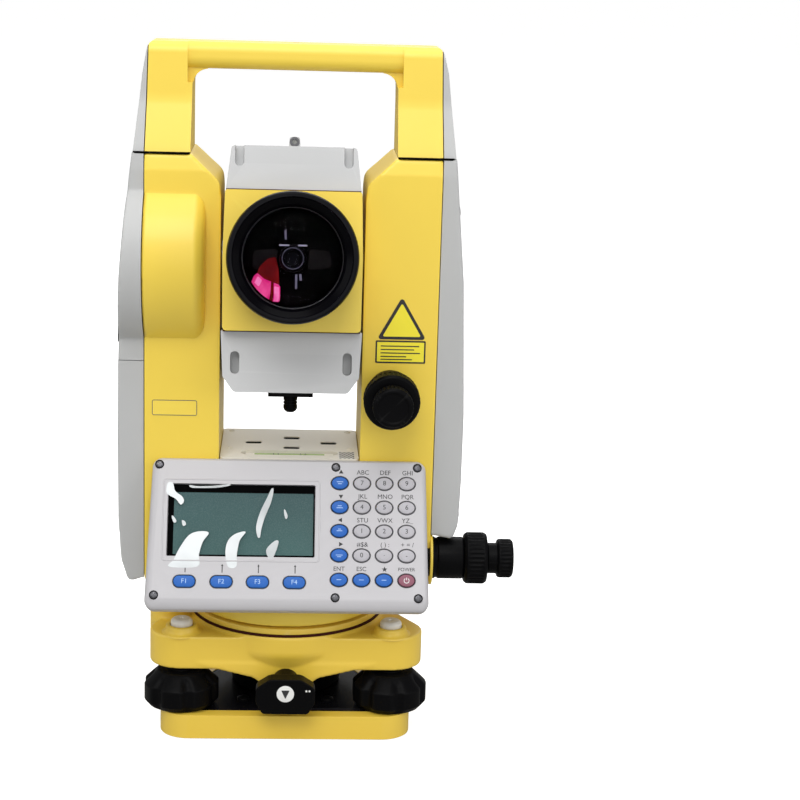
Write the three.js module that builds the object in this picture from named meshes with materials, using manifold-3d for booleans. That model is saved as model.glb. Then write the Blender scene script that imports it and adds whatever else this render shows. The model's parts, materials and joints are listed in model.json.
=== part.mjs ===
// Surveying total station on a levelling tribrach. Millimetres, +Z up, base underside at z = 0.
// Everything is drawn about the instrument's vertical axis (x = 0, y = 0), with the keypad at the
// front (-Y) and the battery on the left (-X). The whole group is then shifted by AXIS_X, AXIS_Y.
import * as THREE from 'three';
import { mergeVertices } from 'three/addons/utils/BufferGeometryUtils.js';
import Module from 'manifold-3d';

const wasm = await Module();
wasm.setup();

// ---------------------------------------------------------------- driving dimensions
const AXIS_X = -14.5;            // where the vertical axis stands in the finished frame
const AXIS_Y = -1.93;
const GAP = 0.3;                 // play between separate pieces

const BASE_T = 12.5;             // base plate thickness
const FEET = { left: [-54, -38], right: [54, -38], rear: [0, 59] };  // foot screw axes [x, y]
const FOOT_R = 19.3;             // foot screw knob
const FOOT_Z0 = 12.9;
const FOOT_Z1 = 31.6;
const TRIB_Z0 = 34;              // tribrach body
const TRIB_Z1 = 53;
const SEAT_R = 50;               // round flange that sits on the tribrach
const FLANGE_TOP = 59;
const LOCK_Z = 28.7;             // lock knob axis height
const LEVEL_X = -61.5;           // circular level, on the tribrach's left flank
const LEVEL_Y = -10;
const LEVEL_FLOOR = 50;

const FRAME_Z0 = 58;             // underside of the turning part
const BODY_Z0 = 72;              // underside of its wide part
const DECK_Z = 138;              // floor between the standards
const STD_TOP = 296;             // top of the standards
const STD_OUT = 74;              // outer face of the standards
const STD_IN = 36;               // inner face of the standards
const FRONT_Y = -28;
const REAR_Y = 40;
const BAY_HALF = 60;             // electronics bay behind the keypad
const BAY_Z0 = 84;
const BAY_Z1 = 131;
const TRUNNION_Z = 240;
const DRUM_R = 46;               // encoder drum on the left standard
const TILT = 10;                 // degrees the telescope points up by

const HANDLE_TOP = 350;
const HANDLE_UNDER = 336.5;

const PANEL_TOP_Y = -32;         // top edge of the keypad face
const PANEL_TOP_Z = 142.7;
const PANEL_LEN = 77.7;
const PANEL_HALF = 70;
const PANEL_PITCH = 90 - 27;     // degrees from level; the face leans back 27 from upright
const KEY_PROUD = 1.0;

const HZ_Y = -20;                // horizontal clamp axis, along +X
const HZ_Z = 87;
const HZ_BOSS_X = 91.5;          // outer end of its boss
const VC_X = 50.6;               // vertical clamp axis, along -Y
const VC_Z = 177.6;
const VC_BOSS_Y = FRONT_Y - 13;  // front end of its boss
const KNOB_PLAY = 0.5;           // between a boss and its clamp knob

const MATERIALS = {
  yellow: { color: 0xf2cf3c, roughness: 0.42 },
  light: { color: 0xb9bcbd, roughness: 0.5 },
  dark: { color: 0x161616, roughness: 0.45 },
  steel: { color: 0x9a9da0, roughness: 0.35, metalness: 0.9 },
  cream: { color: 0xe8e2d2, roughness: 0.45 },
  blue: { color: 0x5d9fe6, roughness: 0.5 },
  keyGrey: { color: 0xcfd2d6, roughness: 0.5 },
  red: { color: 0xd9707a, roughness: 0.5 },
  glass: { color: 0x334040, roughness: 0.1 },
  brass: { color: 0xb08d4a, roughness: 0.35, metalness: 0.9 },
};

// ---------------------------------------------------------------- conversion
function toManifold(geometry) {
  const loose = geometry.index ? geometry.toNonIndexed() : geometry;
  for (const key of Object.keys(loose.attributes)) {
    if (key !== 'position') loose.deleteAttribute(key);
  }
  const welded = mergeVertices(loose, 1e-4);
  return new wasm.Manifold(new wasm.Mesh({
    numProp: 3,
    vertProperties: new Float32Array(welded.attributes.position.array),
    triVerts: new Uint32Array(welded.index.array),
  }));
}

function toGeometry(shape) {
  const mesh = shape.getMesh();
  const geometry = new THREE.BufferGeometry();
  const positions = new Float32Array(mesh.vertProperties);
  geometry.setAttribute('position', new THREE.BufferAttribute(positions, 3));
  geometry.setIndex(new THREE.BufferAttribute(new Uint32Array(mesh.triVerts), 1));
  return geometry;
}

const join = (first, ...others) => others.reduce((sum, shape) => sum.add(shape), first);
const cut = (first, ...tools) => tools.reduce((rest, tool) => rest.subtract(tool), first);

// ---------------------------------------------------------------- outlines
// points evenly spaced round an ellipse; phase is in steps
function ringPoints(count, rx, ry = rx, phase = 0) {
  return Array.from({ length: count }, (_, i) => {
    const angle = (i + phase) / count * 2 * Math.PI;
    return [rx * Math.cos(angle), ry * Math.sin(angle)];
  });
}

// polygon with its corners rounded; each corner is [x, y, radius], radius 0 if left out
function rounded(corners, seg = 3) {
  const count = corners.length;
  return corners.flatMap(([x, y, r = 0], i) => {
    if (!r) return [[x, y]];
    const before = corners[(i + count - 1) % count];
    const after = corners[(i + 1) % count];
    const toBefore = new THREE.Vector2(before[0] - x, before[1] - y).normalize();
    const toAfter = new THREE.Vector2(after[0] - x, after[1] - y).normalize();
    const half = Math.acos(THREE.MathUtils.clamp(toBefore.dot(toAfter), -1, 1)) / 2;
    const setback = r / Math.tan(half);
    const toCentre = toBefore.clone().add(toAfter).normalize().multiplyScalar(r / Math.sin(half));
    // angle, seen from the arc's centre, of the point where the arc meets an edge
    const tangentAngle = (edge) =>
      Math.atan2(edge.y * setback - toCentre.y, edge.x * setback - toCentre.x);
    const start = tangentAngle(toBefore);
    let sweep = tangentAngle(toAfter) - start;
    if (sweep > Math.PI) sweep -= 2 * Math.PI;
    if (sweep < -Math.PI) sweep += 2 * Math.PI;
    return Array.from({ length: seg + 1 }, (_, k) => {
      const angle = start + sweep * k / seg;
      return [x + toCentre.x + r * Math.cos(angle), y + toCentre.y + r * Math.sin(angle)];
    });
  });
}

const roundedRect = (x0, x1, y0, y1, r, seg) =>
  rounded([[x0, y0, r], [x1, y0, r], [x1, y1, r], [x0, y1, r]], seg);

// convex outline around a set of circles [x, y, r]
function hullOutline(circles, seg) {
  const points = circles.flatMap(([x, y, r]) => ringPoints(seg, r).map(([u, v]) => [x + u, y + v]));
  points.sort((p, q) => p[0] - q[0] || p[1] - q[1]);
  const turn = (o, a, b) => (a[0] - o[0]) * (b[1] - o[1]) - (a[1] - o[1]) * (b[0] - o[0]);
  const chain = (list) => {
    const kept = [];
    for (const point of list) {
      while (kept.length > 1 && turn(kept.at(-2), kept.at(-1), point) <= 1e-6) kept.pop();
      kept.push(point);
    }
    kept.pop();
    return kept;
  };
  return [...chain(points), ...chain([...points].reverse())];
}

// rounded triangle with two corners at the front and one at the rear
const threeCorner = ({ x, frontY, rearY, r, rearR = r }, seg) =>
  hullOutline([[-x, frontY, r], [x, frontY, r], [0, rearY, rearR]], seg);

// ---------------------------------------------------------------- solids
// [x, y] outline pushed up along Z
function slabZ(points, z0, z1, bevel = 0) {
  const outline = new THREE.Shape(points.map(([x, y]) => new THREE.Vector2(x, y)));
  const geometry = new THREE.ExtrudeGeometry(outline, {
    depth: z1 - z0 - 2 * bevel,
    bevelEnabled: bevel > 0,
    bevelThickness: bevel,
    bevelSize: bevel,
    bevelOffset: -bevel,
    bevelSegments: 1,
  });
  geometry.translate(0, 0, z0 + bevel);
  return toManifold(geometry);
}

// [x, z] outline running along Y
const slabY = (points, y0, y1, bevel) =>
  slabZ(points, 0, y1 - y0, bevel).rotate([90, 0, 0]).translate([0, y1, 0]);

// [y, z] outline running along X
const slabX = (points, x0, x1, bevel) =>
  slabZ(points, 0, x1 - x0, bevel).rotate([90, 0, 90]).translate([x0, 0, 0]);

function box(x0, x1, y0, y1, z0, z1) {
  const geometry = new THREE.BoxGeometry(x1 - x0, y1 - y0, z1 - z0);
  geometry.translate((x0 + x1) / 2, (y0 + y1) / 2, (z0 + z1) / 2);
  return toManifold(geometry);
}

// profile of [radius, height] pairs turned about Z
function turned(profile, seg) {
  const points = profile.map(([r, z]) => new THREE.Vector2(r, z));
  const geometry = new THREE.LatheGeometry(points, seg);
  geometry.rotateX(Math.PI / 2);
  return toManifold(geometry);
}

const rod = (r, z0, z1, seg) => turned([[0, z0], [r, z0], [r, z1], [0, z1]], seg);

// lay a turned shape down so that its height runs towards +X, or towards the front (-Y)
const toRight = (shape, x = 0, y = 0, z = 0) => shape.rotate([0, 90, 0]).translate([x, y, z]);
const toFront = (shape, x = 0, y = 0, z = 0) => shape.rotate([90, 0, 0]).translate([x, y, z]);

// turned knob with narrow grooves down its rim, from z0 to z1
function grooved(profile, { rimR, z0, z1, count }) {
  const grooves = ringPoints(count, rimR + 0.5).map(([x, y]) =>
    rod(1.3, z0, z1, 4).translate([x, y, 0]));
  return cut(turned(profile, 24), ...grooves);
}

// ---------------------------------------------------------------- assembly
const group = new THREE.Group();
group.position.set(AXIS_X, AXIS_Y, 0);

function add(name, material, shape, parent = group) {
  const mesh = new THREE.Mesh(
    toGeometry(shape),
    new THREE.MeshStandardMaterial(MATERIALS[material]),
  );
  mesh.name = name;
  parent.add(mesh);
  return mesh;
}

// ---------------------------------------------------------------- base and foot screws
const footRods = (r, z0, z1, seg) =>
  Object.values(FEET).map(([x, y]) => rod(r, z0, z1, seg).translate([x, y, 0]));
const springOutline = (r) => threeCorner({ x: 50.5, frontY: -39, rearY: 57, r }, 12);

function basePlate() {
  const outline = threeCorner({ x: 49.5, frontY: -42, rearY: 58, r: 15, rearR: 16 }, 18);
  return cut(
    slabZ(outline, 0, BASE_T, 1.2),
    slabZ(springOutline(10.6), 10.5, 20),   // recess for the spring plate
    rod(8, -5, 20, 24),
    ...footRods(4.6, 5.5, 20, 16),
  );
}

function footScrew() {
  const profile = [
    [0, 6], [4.1, 6], [4.1, FOOT_Z0], [16.8, FOOT_Z0], [FOOT_R, FOOT_Z0 + 3],
    [FOOT_R, FOOT_Z1 - 7], [12, FOOT_Z1], [5.5, FOOT_Z1], [5.5, 57.6], [4.6, 58.6], [0, 58.6],
  ];
  const flutes = ringPoints(7, 22.2, 22.2, 0.5).map(([x, y]) =>
    rod(4.6, FOOT_Z0 - 1, FOOT_Z1 + 1, 8).translate([x, y, 0]));
  return cut(turned(profile, 22), ...flutes);
}

add('base_plate', 'yellow', basePlate());
add('spring_plate', 'steel', cut(
  slabZ(springOutline(10.2), 10.8, 12.2),
  rod(12, 5, 20, 24),
  ...footRods(5, 5, 20, 16),
));
for (const [side, [x, y]] of Object.entries(FEET)) {
  add('foot_screw_' + side, 'dark', footScrew().translate([x, y, 0]));
}

// ---------------------------------------------------------------- tribrach
function tribrachBody() {
  const outline = threeCorner({ x: 54.6, frontY: -31.4, rearY: 62.3, r: 16 }, 16);
  const rimR = SEAT_R + 1.6;
  const rim = turned([
    [0, 28], [38, 28], [38, 36], [rimR, 40], [rimR, TRIB_Z1 - 0.6], [SEAT_R + 1, TRIB_Z1],
    [0, TRIB_Z1],
  ], 30);
  const lockBoss = slabY([
    [-40, 36.4], [-15.4, 29.2], [-8, 21.5], [8, 21.5], [15.4, 29.2], [40, 36.4],
  ], -48.2, -36.5);
  const body = cut(
    join(slabZ(outline, TRIB_Z0, TRIB_Z1 - 1.5, 1.4), rim, lockBoss),
    rod(17.8, 20, 60, 22),
    rod(34.6, 20, 38, 22),                        // pocket for the lock ring
    toFront(rod(4.9, 30, 60, 20), 0, 0, LOCK_Z),  // lock knob bore
    ...footRods(5.9, 20, 60, 20),
  );
  // round socket for the circular level
  return cut(
    join(body, rod(10.6, 36, 57, 24).translate([LEVEL_X, LEVEL_Y, 0])),
    rod(8.7, LEVEL_FLOOR, 65, 24).translate([LEVEL_X, LEVEL_Y, 0]),
  );
}

function circularLevel() {
  const z0 = LEVEL_FLOOR + GAP;
  return turned([[0, z0], [8.4, z0], [8.4, 57.4], [6.2, 58.2], [0, 58.6]], 24)
    .translate([LEVEL_X, LEVEL_Y, 0]);
}

function lockKnob() {
  const grip = rounded([
    [-14.8, 24, 2.5], [-11, 17.5, 2], [11, 17.5, 2], [14.8, 24, 2.5],
    [15, 31.5, 3], [8, 36.2, 4], [-8, 36.2, 4], [-15, 31.5, 3],
  ]);
  const stem = join(rod(4.5, 35.2, 54, 20), rod(7, 49, 60.5, 20));
  return join(toFront(stem, 0, 0, LOCK_Z), slabY(grip, -67, -59, 1));
}

add('tribrach_body', 'yellow', tribrachBody());
add('circular_level', 'glass', circularLevel());
add('tribrach_barrel', 'dark', turned([
  [14, 13.2], [29, 13.2], [29, 25.6], [34, 25.6], [34, 28.6], [14, 28.6], [14, 13.2],
], 26));
add('tribrach_lock_ring', 'brass', turned([
  [18.4, 29], [34.2, 29], [34.2, 37.6], [18.4, 37.6], [18.4, 29],
], 26));
add('tribrach_lock_knob', 'dark', lockKnob());

// ---------------------------------------------------------------- fixed flange and spindle
add('centring_flange', 'yellow', turned([
  [6.2, 38.3], [17.3, 38.3], [17.3, TRIB_Z1 + GAP], [SEAT_R, TRIB_Z1 + GAP], [SEAT_R, 57],
  [16, 57], [16, FLANGE_TOP], [6.2, FLANGE_TOP], [6.2, 38.3],
], 30));
add('vertical_axis_spindle', 'steel', turned([
  [6.2, FLANGE_TOP + GAP], [13, FLANGE_TOP + GAP], [13, 62], [9.4, 64], [9.4, 106], [8.6, 107],
  [6.2, 107], [6.2, FLANGE_TOP + GAP],
], 24));

// ---------------------------------------------------------------- turning part
// side view of the casting, or of a shell set in from its front and rear faces
const sideProfile = (inset) => rounded([
  [FRONT_Y + inset, BODY_Z0 - 1], [REAR_Y - inset, BODY_Z0 - 1], [REAR_Y - inset, 190, 40],
  [24 - inset, STD_TOP], [FRONT_Y + 2 + inset, STD_TOP, 2], [FRONT_Y + inset, 288],
], 4);

// side view of the hollow in a standard; the rear top corner stands at topY
const hollowProfile = (topY, topZ) => rounded([
  [FRONT_Y + 4, BAY_Z0, 4], [REAR_Y - 5, BAY_Z0, 4], [REAR_Y - 5, 186, 12],
  [topY, topZ, 4], [FRONT_Y + 4, topZ, 4],
], 2);

// front view and side view intersected, with the round foot, the drum and the clamp bosses
function alidadeFrame() {
  const front = rounded([
    [-STD_OUT, BODY_Z0 + 3, 3], [-STD_OUT + 8, BODY_Z0, 3],
    [STD_OUT - 8, BODY_Z0, 3], [STD_OUT, BODY_Z0 + 3, 3],
    [STD_OUT, STD_TOP], [51, STD_TOP], [STD_IN + 0.5, 282.5, 5], [STD_IN, 276],
    [STD_IN, DECK_Z], [-STD_IN, DECK_Z],
    [-STD_IN, 276], [-STD_IN - 0.5, 282.5, 5], [-51, STD_TOP], [-STD_OUT, STD_TOP],
  ]);
  const footR = SEAT_R - 0.6;
  const foot = turned([
    [0, FRAME_Z0], [footR, FRAME_Z0], [footR, 64], [44, BODY_Z0 + 2], [0, BODY_Z0 + 2],
  ], 30);
  const drum = turned([[0, 0], [DRUM_R, 0], [DRUM_R, 25], [DRUM_R - 4, 29], [0, 29]], 30);
  const casting = join(
    slabY(front, FRONT_Y, REAR_Y).intersect(slabX(sideProfile(0), -100, 100)),
    foot,
    toRight(drum, -STD_OUT, 0, TRUNNION_Z),
  );

  const outerHollow = hollowProfile(21, 290);   // open at the outer faces
  const innerHollow = hollowProfile(23.2, 274);
  const hollowed = cut(
    casting,
    slabX(outerHollow, -90, -STD_IN - 17),
    slabX(outerHollow, STD_IN + 17, 90),
    slabX(innerHollow, -STD_IN - 18, -STD_IN - 5),
    slabX(innerHollow, STD_IN + 5, STD_IN + 18),
    toRight(rod(DRUM_R - 4, -90, -50, 22), 0, 0, TRUNNION_Z),
    box(-BAY_HALF, BAY_HALF, FRONT_Y - 2, REAR_Y - 5, BAY_Z0, BAY_Z1),
    toRight(rod(9.5, -60, 60, 24), 0, 0, TRUNNION_Z),   // trunnion bores
    rod(10, 50, 90, 24),                                // spindle bore
    rod(16.4, 50, 64.6, 24),
    box(-26, 26, -21, -11, 133, 140),                   // deck recess for the plate level
  );

  const hzDrilled = cut(
    join(hollowed, toRight(rod(11, 0, 21, 20), HZ_BOSS_X - 21, HZ_Y, HZ_Z)),
    toRight(rod(4, 60, 120, 16), 0, HZ_Y, HZ_Z),
  );
  return cut(
    join(hzDrilled, toFront(rod(11, 0, 15, 20), VC_X, VC_BOSS_Y + 15, VC_Z)),
    toFront(rod(4, 10, 60, 16), VC_X, 0, VC_Z),
  );
}

add('alidade_frame', 'yellow', alidadeFrame());

// ---------------------------------------------------------------- side shells
const SHELL_IN = STD_OUT + GAP;  // inner face of the shells
const shellSideView = slabX(sideProfile(1), -120, 120);
// front view [x, z] run along Y and trimmed to the side view
const shell = (frontView) =>
  slabY(frontView, FRONT_Y + 1, REAR_Y - 1).intersect(shellSideView);

function leftCover() {
  const frontView = [
    [-SHELL_IN, 191.6], [-87.2, 191.6], [-86.1, 221], [-85.3, 236], [-84.2, 252],
    [-83, 270], [-81.8, 283], [-80.1, STD_TOP], [-SHELL_IN, STD_TOP],
  ];
  const drumCap = toRight(rod(DRUM_R, -92, -SHELL_IN, 40), 0, 0, TRUNNION_Z)
    .intersect(slabY(frontView, -60, 60));
  const hollow = [[FRONT_Y + 5, 195], [REAR_Y - 8, 195], [18, 280], [FRONT_Y + 5, 280]];
  return cut(
    join(shell(frontView), drumCap),
    slabX(hollow, -79, -70),
    box(-95, -80, -9.4, 9.4, 193.6, 206.4),   // latch opening
  );
}

function batteryPack() {
  const frontView = rounded([
    [-SHELL_IN, 77], [-82.4, 73.8, 3], [-87, 92, 8], [-87.6, 150], [-87.2, 191.2],
    [-SHELL_IN, 191.2],
  ]);
  return join(shell(frontView), box(-76, -60, FRONT_Y + 6, REAR_Y - 8, 92, 176));
}

function rightCover() {
  const frontView = rounded([
    [SHELL_IN, 101], [85.6, 98.8, 2.5], [88.3, 107, 6], [89, 135], [89, 165], [86.5, 234],
    [80.9, STD_TOP], [SHELL_IN, STD_TOP],
  ]);
  const hollow = [
    [FRONT_Y + 5, 106], [REAR_Y - 6, 106], [REAR_Y - 6, 190], [18, 285], [FRONT_Y + 5, 285],
  ];
  return cut(shell(frontView), slabX(hollow, 70, 80));
}

add('side_cover_left', 'light', leftCover());
add('battery_latch', 'dark', slabX(roundedRect(-9, 9, 197, 206, 1.5, 2), -88.8, -83));
add('battery_pack', 'light', batteryPack());
add('side_cover_right', 'light', rightCover());

// ---------------------------------------------------------------- carrying handle
function handle() {
  const foot = STD_TOP + GAP;
  const frontView = rounded([
    [-79.9, foot], [-51.5, foot], [-51, HANDLE_UNDER, 8],
    [51, HANDLE_UNDER, 8], [51.5, foot], [80.7, foot],
    [76.2, 337, 6], [73, HANDLE_TOP, 4], [-73, HANDLE_TOP, 4], [-75.8, 334, 6],
  ], 4);
  const sideView = rounded([
    [-25, STD_TOP], [22, STD_TOP], [15, 322, 12],
    [13.5, HANDLE_TOP, 5], [-13.5, HANDLE_TOP, 5], [-15, 322, 12],
  ]);
  return slabY(frontView, -30, 30).intersect(slabX(sideView, -100, 100));
}

add('handle', 'yellow', handle());

// ---------------------------------------------------------------- deck between the standards
function deckCover() {
  const slotCentres = [[-19, 4.5], [20.5, 4.5], [1, 14.5], [1, -5.5]];
  return cut(
    slabZ(roundedRect(-35.6, 35.6, -27.4, 33, 2, 2), DECK_Z + GAP, DECK_Z + 3.5),
    box(-25, 25, -20.4, -11.6, 130, 150),     // plate level window
    ...slotCentres.map(([x, y]) => box(x - 4.2, x + 4.2, y - 2.7, y + 2.7, 130, 150)),
  );
}

add('deck_cover', 'cream', deckCover());
add('plate_level', 'glass', toRight(turned([
  [0, -22.5], [2.6, -22.5], [3.6, -21.5], [3.6, 21.5], [2.6, 22.5], [0, 22.5],
], 20), 0, -16, 137.4));

// ---------------------------------------------------------------- keypad unit
// Drawn flat: x right, y up the slope from the top edge, z out of the face. Then leaned back.
const panel = new THREE.Group();
panel.position.set(0, PANEL_TOP_Y, PANEL_TOP_Z);
panel.rotation.set(THREE.MathUtils.degToRad(PANEL_PITCH), 0, 0);
group.add(panel);
const placePanel = (shape) =>
  shape.rotate([PANEL_PITCH, 0, 0]).translate([0, PANEL_TOP_Y, PANEL_TOP_Z]);

const F_KEY_X = [-51.6, -33.1, -14.9, 3.5];
const F_KEY_DOWN = 63.6;                     // "down" is the distance below the top edge
const COLUMN_X = [25.9, 37.2, 48.6, 60];
const ROW_DOWN = [12.4, 24.8, 37.1, 49.5, 62];
const KEY_ROWS = [
  ['up', '7', '8', '9'],
  ['down', '4', '5', '6'],
  ['left', '1', '2', '3'],
  ['right', '0', 'point', 'minus'],
  ['enter', 'escape', 'star', 'power'],
];

// key outlines, grown by a clearance for their openings
function pillOutline(clearance) {
  const halfX = 5.4 + clearance;
  const halfY = 2.9 + clearance;
  return roundedRect(-halfX, halfX, -halfY, halfY, halfY * 0.9, 2);
}
const ovalOutline = (clearance) => ringPoints(10, 4.1 + clearance, 3.15 + clearance);
const PILL = { outline: pillOutline, clearance: 0.35 };
const OVAL = { outline: ovalOutline, clearance: 0.4 };

function keyMaterial(label, row, column) {
  if (label === 'power') return 'red';
  return column === 0 || row === KEY_ROWS.length - 1 ? 'blue' : 'keyGrey';
}

const keys = [
  ...F_KEY_X.map((x, i) =>
    ({ name: 'key_f' + (i + 1), x, y: -F_KEY_DOWN, kind: PILL, material: 'blue' })),
  ...KEY_ROWS.flatMap((labels, row) => labels.map((label, column) => ({
    name: 'key_' + label,
    x: COLUMN_X[column],
    y: -ROW_DOWN[row],
    kind: OVAL,
    material: keyMaterial(label, row, column),
  }))),
];

// block over the display area, set in from its edges
const displayBlock = (inset, z0, z1) =>
  placePanel(box(-61 + inset, 13.6 - inset, -50.8 + inset, -13.6 - inset, z0, z1));

function keypadHousing() {
  const face = slabZ(rounded([
    [-PANEL_HALF + 0.8, 0, 4], [-PANEL_HALF - 1.6, -PANEL_LEN, 4],
    [PANEL_HALF + 1.6, -PANEL_LEN, 4], [PANEL_HALF - 0.2, 0, 4],
  ]), -12, 0, 2);
  // skirt that runs back to the casting
  const rearY = FRONT_Y - GAP;
  const skirt = slabX([
    [rearY, 76], [rearY, 139], [-33, 138.5], [-38, 128], [-57, 86], [-54, 76],
  ], -64, 64);
  const inside = placePanel(box(-60, 60, -66, -12, -30, -8))
    .intersect(box(-90, 90, -120, FRONT_Y - 1, 82, BAY_Z1));
  return cut(
    placePanel(face).add(skirt).intersect(box(-90, 90, -120, rearY, 60, 160)),
    box(-BAY_HALF, BAY_HALF, -34, -20, BAY_Z0, BAY_Z1),
    placePanel(box(-64, 64, -70, -8, -9.5, -4)),
    inside,
    displayBlock(0, -2.6, 1),
    displayBlock(4, -6, 1),
    ...keys.map(({ x, y, kind }) =>
      placePanel(slabZ(kind.outline(kind.clearance), -6, 1).translate([x, y, 0]))),
  );
}

add('keypad_housing', 'light', keypadHousing());
add('lcd_panel', 'glass', displayBlock(GAP, -2.3, -0.5));
for (const { name, x, y, kind, material } of keys) {
  const key = add(name, material, slabZ(kind.outline(0), -3.2, KEY_PROUD), panel);
  key.position.set(x, y, 0);
}

// ---------------------------------------------------------------- clamp and tangent knobs
// Each tangent knob's stem runs through its clamp knob into the boss.
const placeHz = (shape) => toRight(shape, HZ_BOSS_X + KNOB_PLAY, HZ_Y, HZ_Z);
const placeV = (shape) => toFront(shape, VC_X, VC_BOSS_Y - KNOB_PLAY, VC_Z);

add('hz_clamp_knob', 'dark', placeHz(grooved([
  [4.6, 0], [12.2, 0], [13.5, 1.6], [13.5, 10.4], [12.4, 12], [4.6, 12], [4.6, 0],
], { rimR: 13.5, z0: 2.5, z1: 9.5, count: 10 })));
add('hz_tangent_knob', 'dark', placeHz(grooved([
  [0, -15], [3.5, -15], [3.5, 12.6], [8, 12.6], [8, 17.5], [9.4, 17.5], [10.2, 18.5],
  [10.2, 24.6], [9, 25.8], [0, 25.8],
], { rimR: 10.2, z0: 19.5, z1: 23.9, count: 8 })));
add('v_clamp_knob', 'dark', placeV(grooved([
  [4.6, 0], [12.8, 0], [14.2, 1.6], [14.2, 10], [13, 11.4], [4.6, 11.4], [4.6, 0],
], { rimR: 14.2, z0: 2.5, z1: 9, count: 10 })));
add('v_tangent_knob', 'dark', placeV(grooved([
  [0, -14], [3.5, -14], [3.5, 12], [8, 12], [8, 14.5], [9.4, 14.5], [10.2, 15.5],
  [10.2, 21.6], [9, 22.8], [0, 22.8],
], { rimR: 10.2, z0: 16.3, z1: 20.8, count: 8 })));

// ---------------------------------------------------------------- rear cover
add('rear_cover', 'light', cut(
  slabY(roundedRect(-58, 58, 80, 132, 5), REAR_Y + GAP, REAR_Y + 7, 1.5),
  toFront(rod(8, -60, -44, 24), 34, 0, 92),
));

// ---------------------------------------------------------------- telescope
// Drawn level about its own axis, objective towards -Y, and then tilted.
const scope = new THREE.Group();
scope.position.set(0, 0, TRUNNION_Z);
scope.rotation.set(THREE.MathUtils.degToRad(-TILT), 0, 0);
group.add(scope);

function telescopeBody() {
  const frontView = rounded([
    [-34.3, -36, 3], [34.3, -36, 3], [34.6, 0],
    [33.8, 33.5, 2], [-33.8, 33.5, 2], [-34.6, 0],
  ], 2);
  const bored = cut(slabY(frontView, -40, 40, 1), toFront(rod(23, -60, 60, 22)));
  return cut(
    join(bored, toRight(rod(9, 0, 24, 24), 34)),   // right trunnion
    toRight(rod(9.3, -40, -20, 24)),               // socket for the left axle
  );
}

function upperCap() {
  const frontView = rounded([
    [-33.6, 33.8], [33.6, 33.8], [31, 55.5, 2.5], [-31, 55.5, 2.5],
  ], 2);
  const notches = [-27, 27].flatMap((x) => [
    box(x - 2.6, x + 2.6, -40, -31.5, 45, 60),
    box(x - 2.6, x + 2.6, 31.5, 40, 45, 60),
  ]);
  const topRib = box(-3, 3, -22, 22, 54, 61.5);
  return join(cut(slabY(frontView, -37, 37, 1), ...notches), topRib);
}

function lowerCap() {
  const frontView = rounded([
    [-34, -59, 3], [-28.5, -66.8, 2.5], [28.5, -66.8, 2.5], [34, -59, 3],
    [35.2, -36.3], [-35.2, -36.3],
  ], 2);
  const notches = [-28, 28].map((x) => box(x - 2.9, x + 2.9, -40, -29, -57.5, -46.5));
  return cut(slabY(frontView, -34, 34, 1), ...notches);
}

// two stacked plates and a short pin under the lower cap
function lowerSight() {
  return join(
    slabY([[-11.5, -70.2], [11.5, -70.2], [11.5, -68.2], [-11.5, -68.2]], -10, 10),
    slabY([[-5, -68.4], [5, -68.4], [5, -67.1], [-5, -67.1]], -8, 8),
    turned([[0, -78.6], [1.6, -78.6], [3.6, -76.8], [3.6, -70], [0, -70]], 20),
  );
}

add('telescope_body', 'yellow', telescopeBody(), scope);
add('telescope_upper_cap', 'light', upperCap(), scope);
add('telescope_lower_cap', 'light', lowerCap(), scope);
add('objective_barrel', 'dark', toFront(turned([
  [24.6, 40.4], [31.6, 40.4], [31.6, 81], [30.8, 82.6], [29.2, 82.6], [28.2, 78], [26.4, 73],
  [24.6, 70.5], [24.6, 40.4],
], 30)), scope);
add('objective_lens', 'glass', toFront(turned([
  [0, 61], [14, 61.6], [24.2, 63], [24.2, 67], [14, 69.4], [0, 70.2],
], 24)), scope);
add('focus_ring', 'dark', toFront(grooved([
  [12, -68], [18.6, -68], [19.8, -66.6], [19.8, -46], [18.6, -44.4], [17.5, -40.4],
  [12, -40.4], [12, -68],
], { rimR: 19.8, z0: -66, z1: -47, count: 10 })), scope);
add('eyepiece', 'dark', toFront(turned([
  [4.5, -90], [10.5, -90], [12.4, -88], [12.4, -80], [11.4, -79], [11.4, -44], [4.5, -44],
  [4.5, -90],
], 22)), scope);
// left axle, with a disc that stands inside the encoder drum
add('trunnion_axle', 'steel', toRight(turned([
  [0, -71], [38, -71], [38, -69], [9, -69], [9, -24], [0, -24],
], 24)), scope);
add('lower_sight', 'dark', lowerSight(), scope);

export default group;
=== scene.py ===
# A surveying total station. A three-screw tribrach carries a turning yoke (the alidade) with
# two standards, side covers, a handle and a sloping keypad; a telescope tilts between them.
import bpy, bmesh, math, json
from mathutils import Vector, Matrix

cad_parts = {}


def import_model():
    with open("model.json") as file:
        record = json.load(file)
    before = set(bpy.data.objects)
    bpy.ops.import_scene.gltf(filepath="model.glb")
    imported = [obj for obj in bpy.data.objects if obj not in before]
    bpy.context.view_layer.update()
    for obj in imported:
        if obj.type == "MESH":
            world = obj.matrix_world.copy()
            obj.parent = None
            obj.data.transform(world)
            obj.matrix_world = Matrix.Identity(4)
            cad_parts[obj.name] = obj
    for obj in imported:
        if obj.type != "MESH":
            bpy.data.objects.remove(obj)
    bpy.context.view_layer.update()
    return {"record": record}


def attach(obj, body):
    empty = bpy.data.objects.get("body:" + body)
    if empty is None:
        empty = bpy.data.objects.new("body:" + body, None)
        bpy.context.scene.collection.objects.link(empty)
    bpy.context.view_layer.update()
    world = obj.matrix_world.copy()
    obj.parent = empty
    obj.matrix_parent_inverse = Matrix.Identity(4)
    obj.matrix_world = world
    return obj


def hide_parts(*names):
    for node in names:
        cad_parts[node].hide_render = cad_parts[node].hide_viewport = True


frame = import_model()
scene = bpy.context.scene


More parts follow.
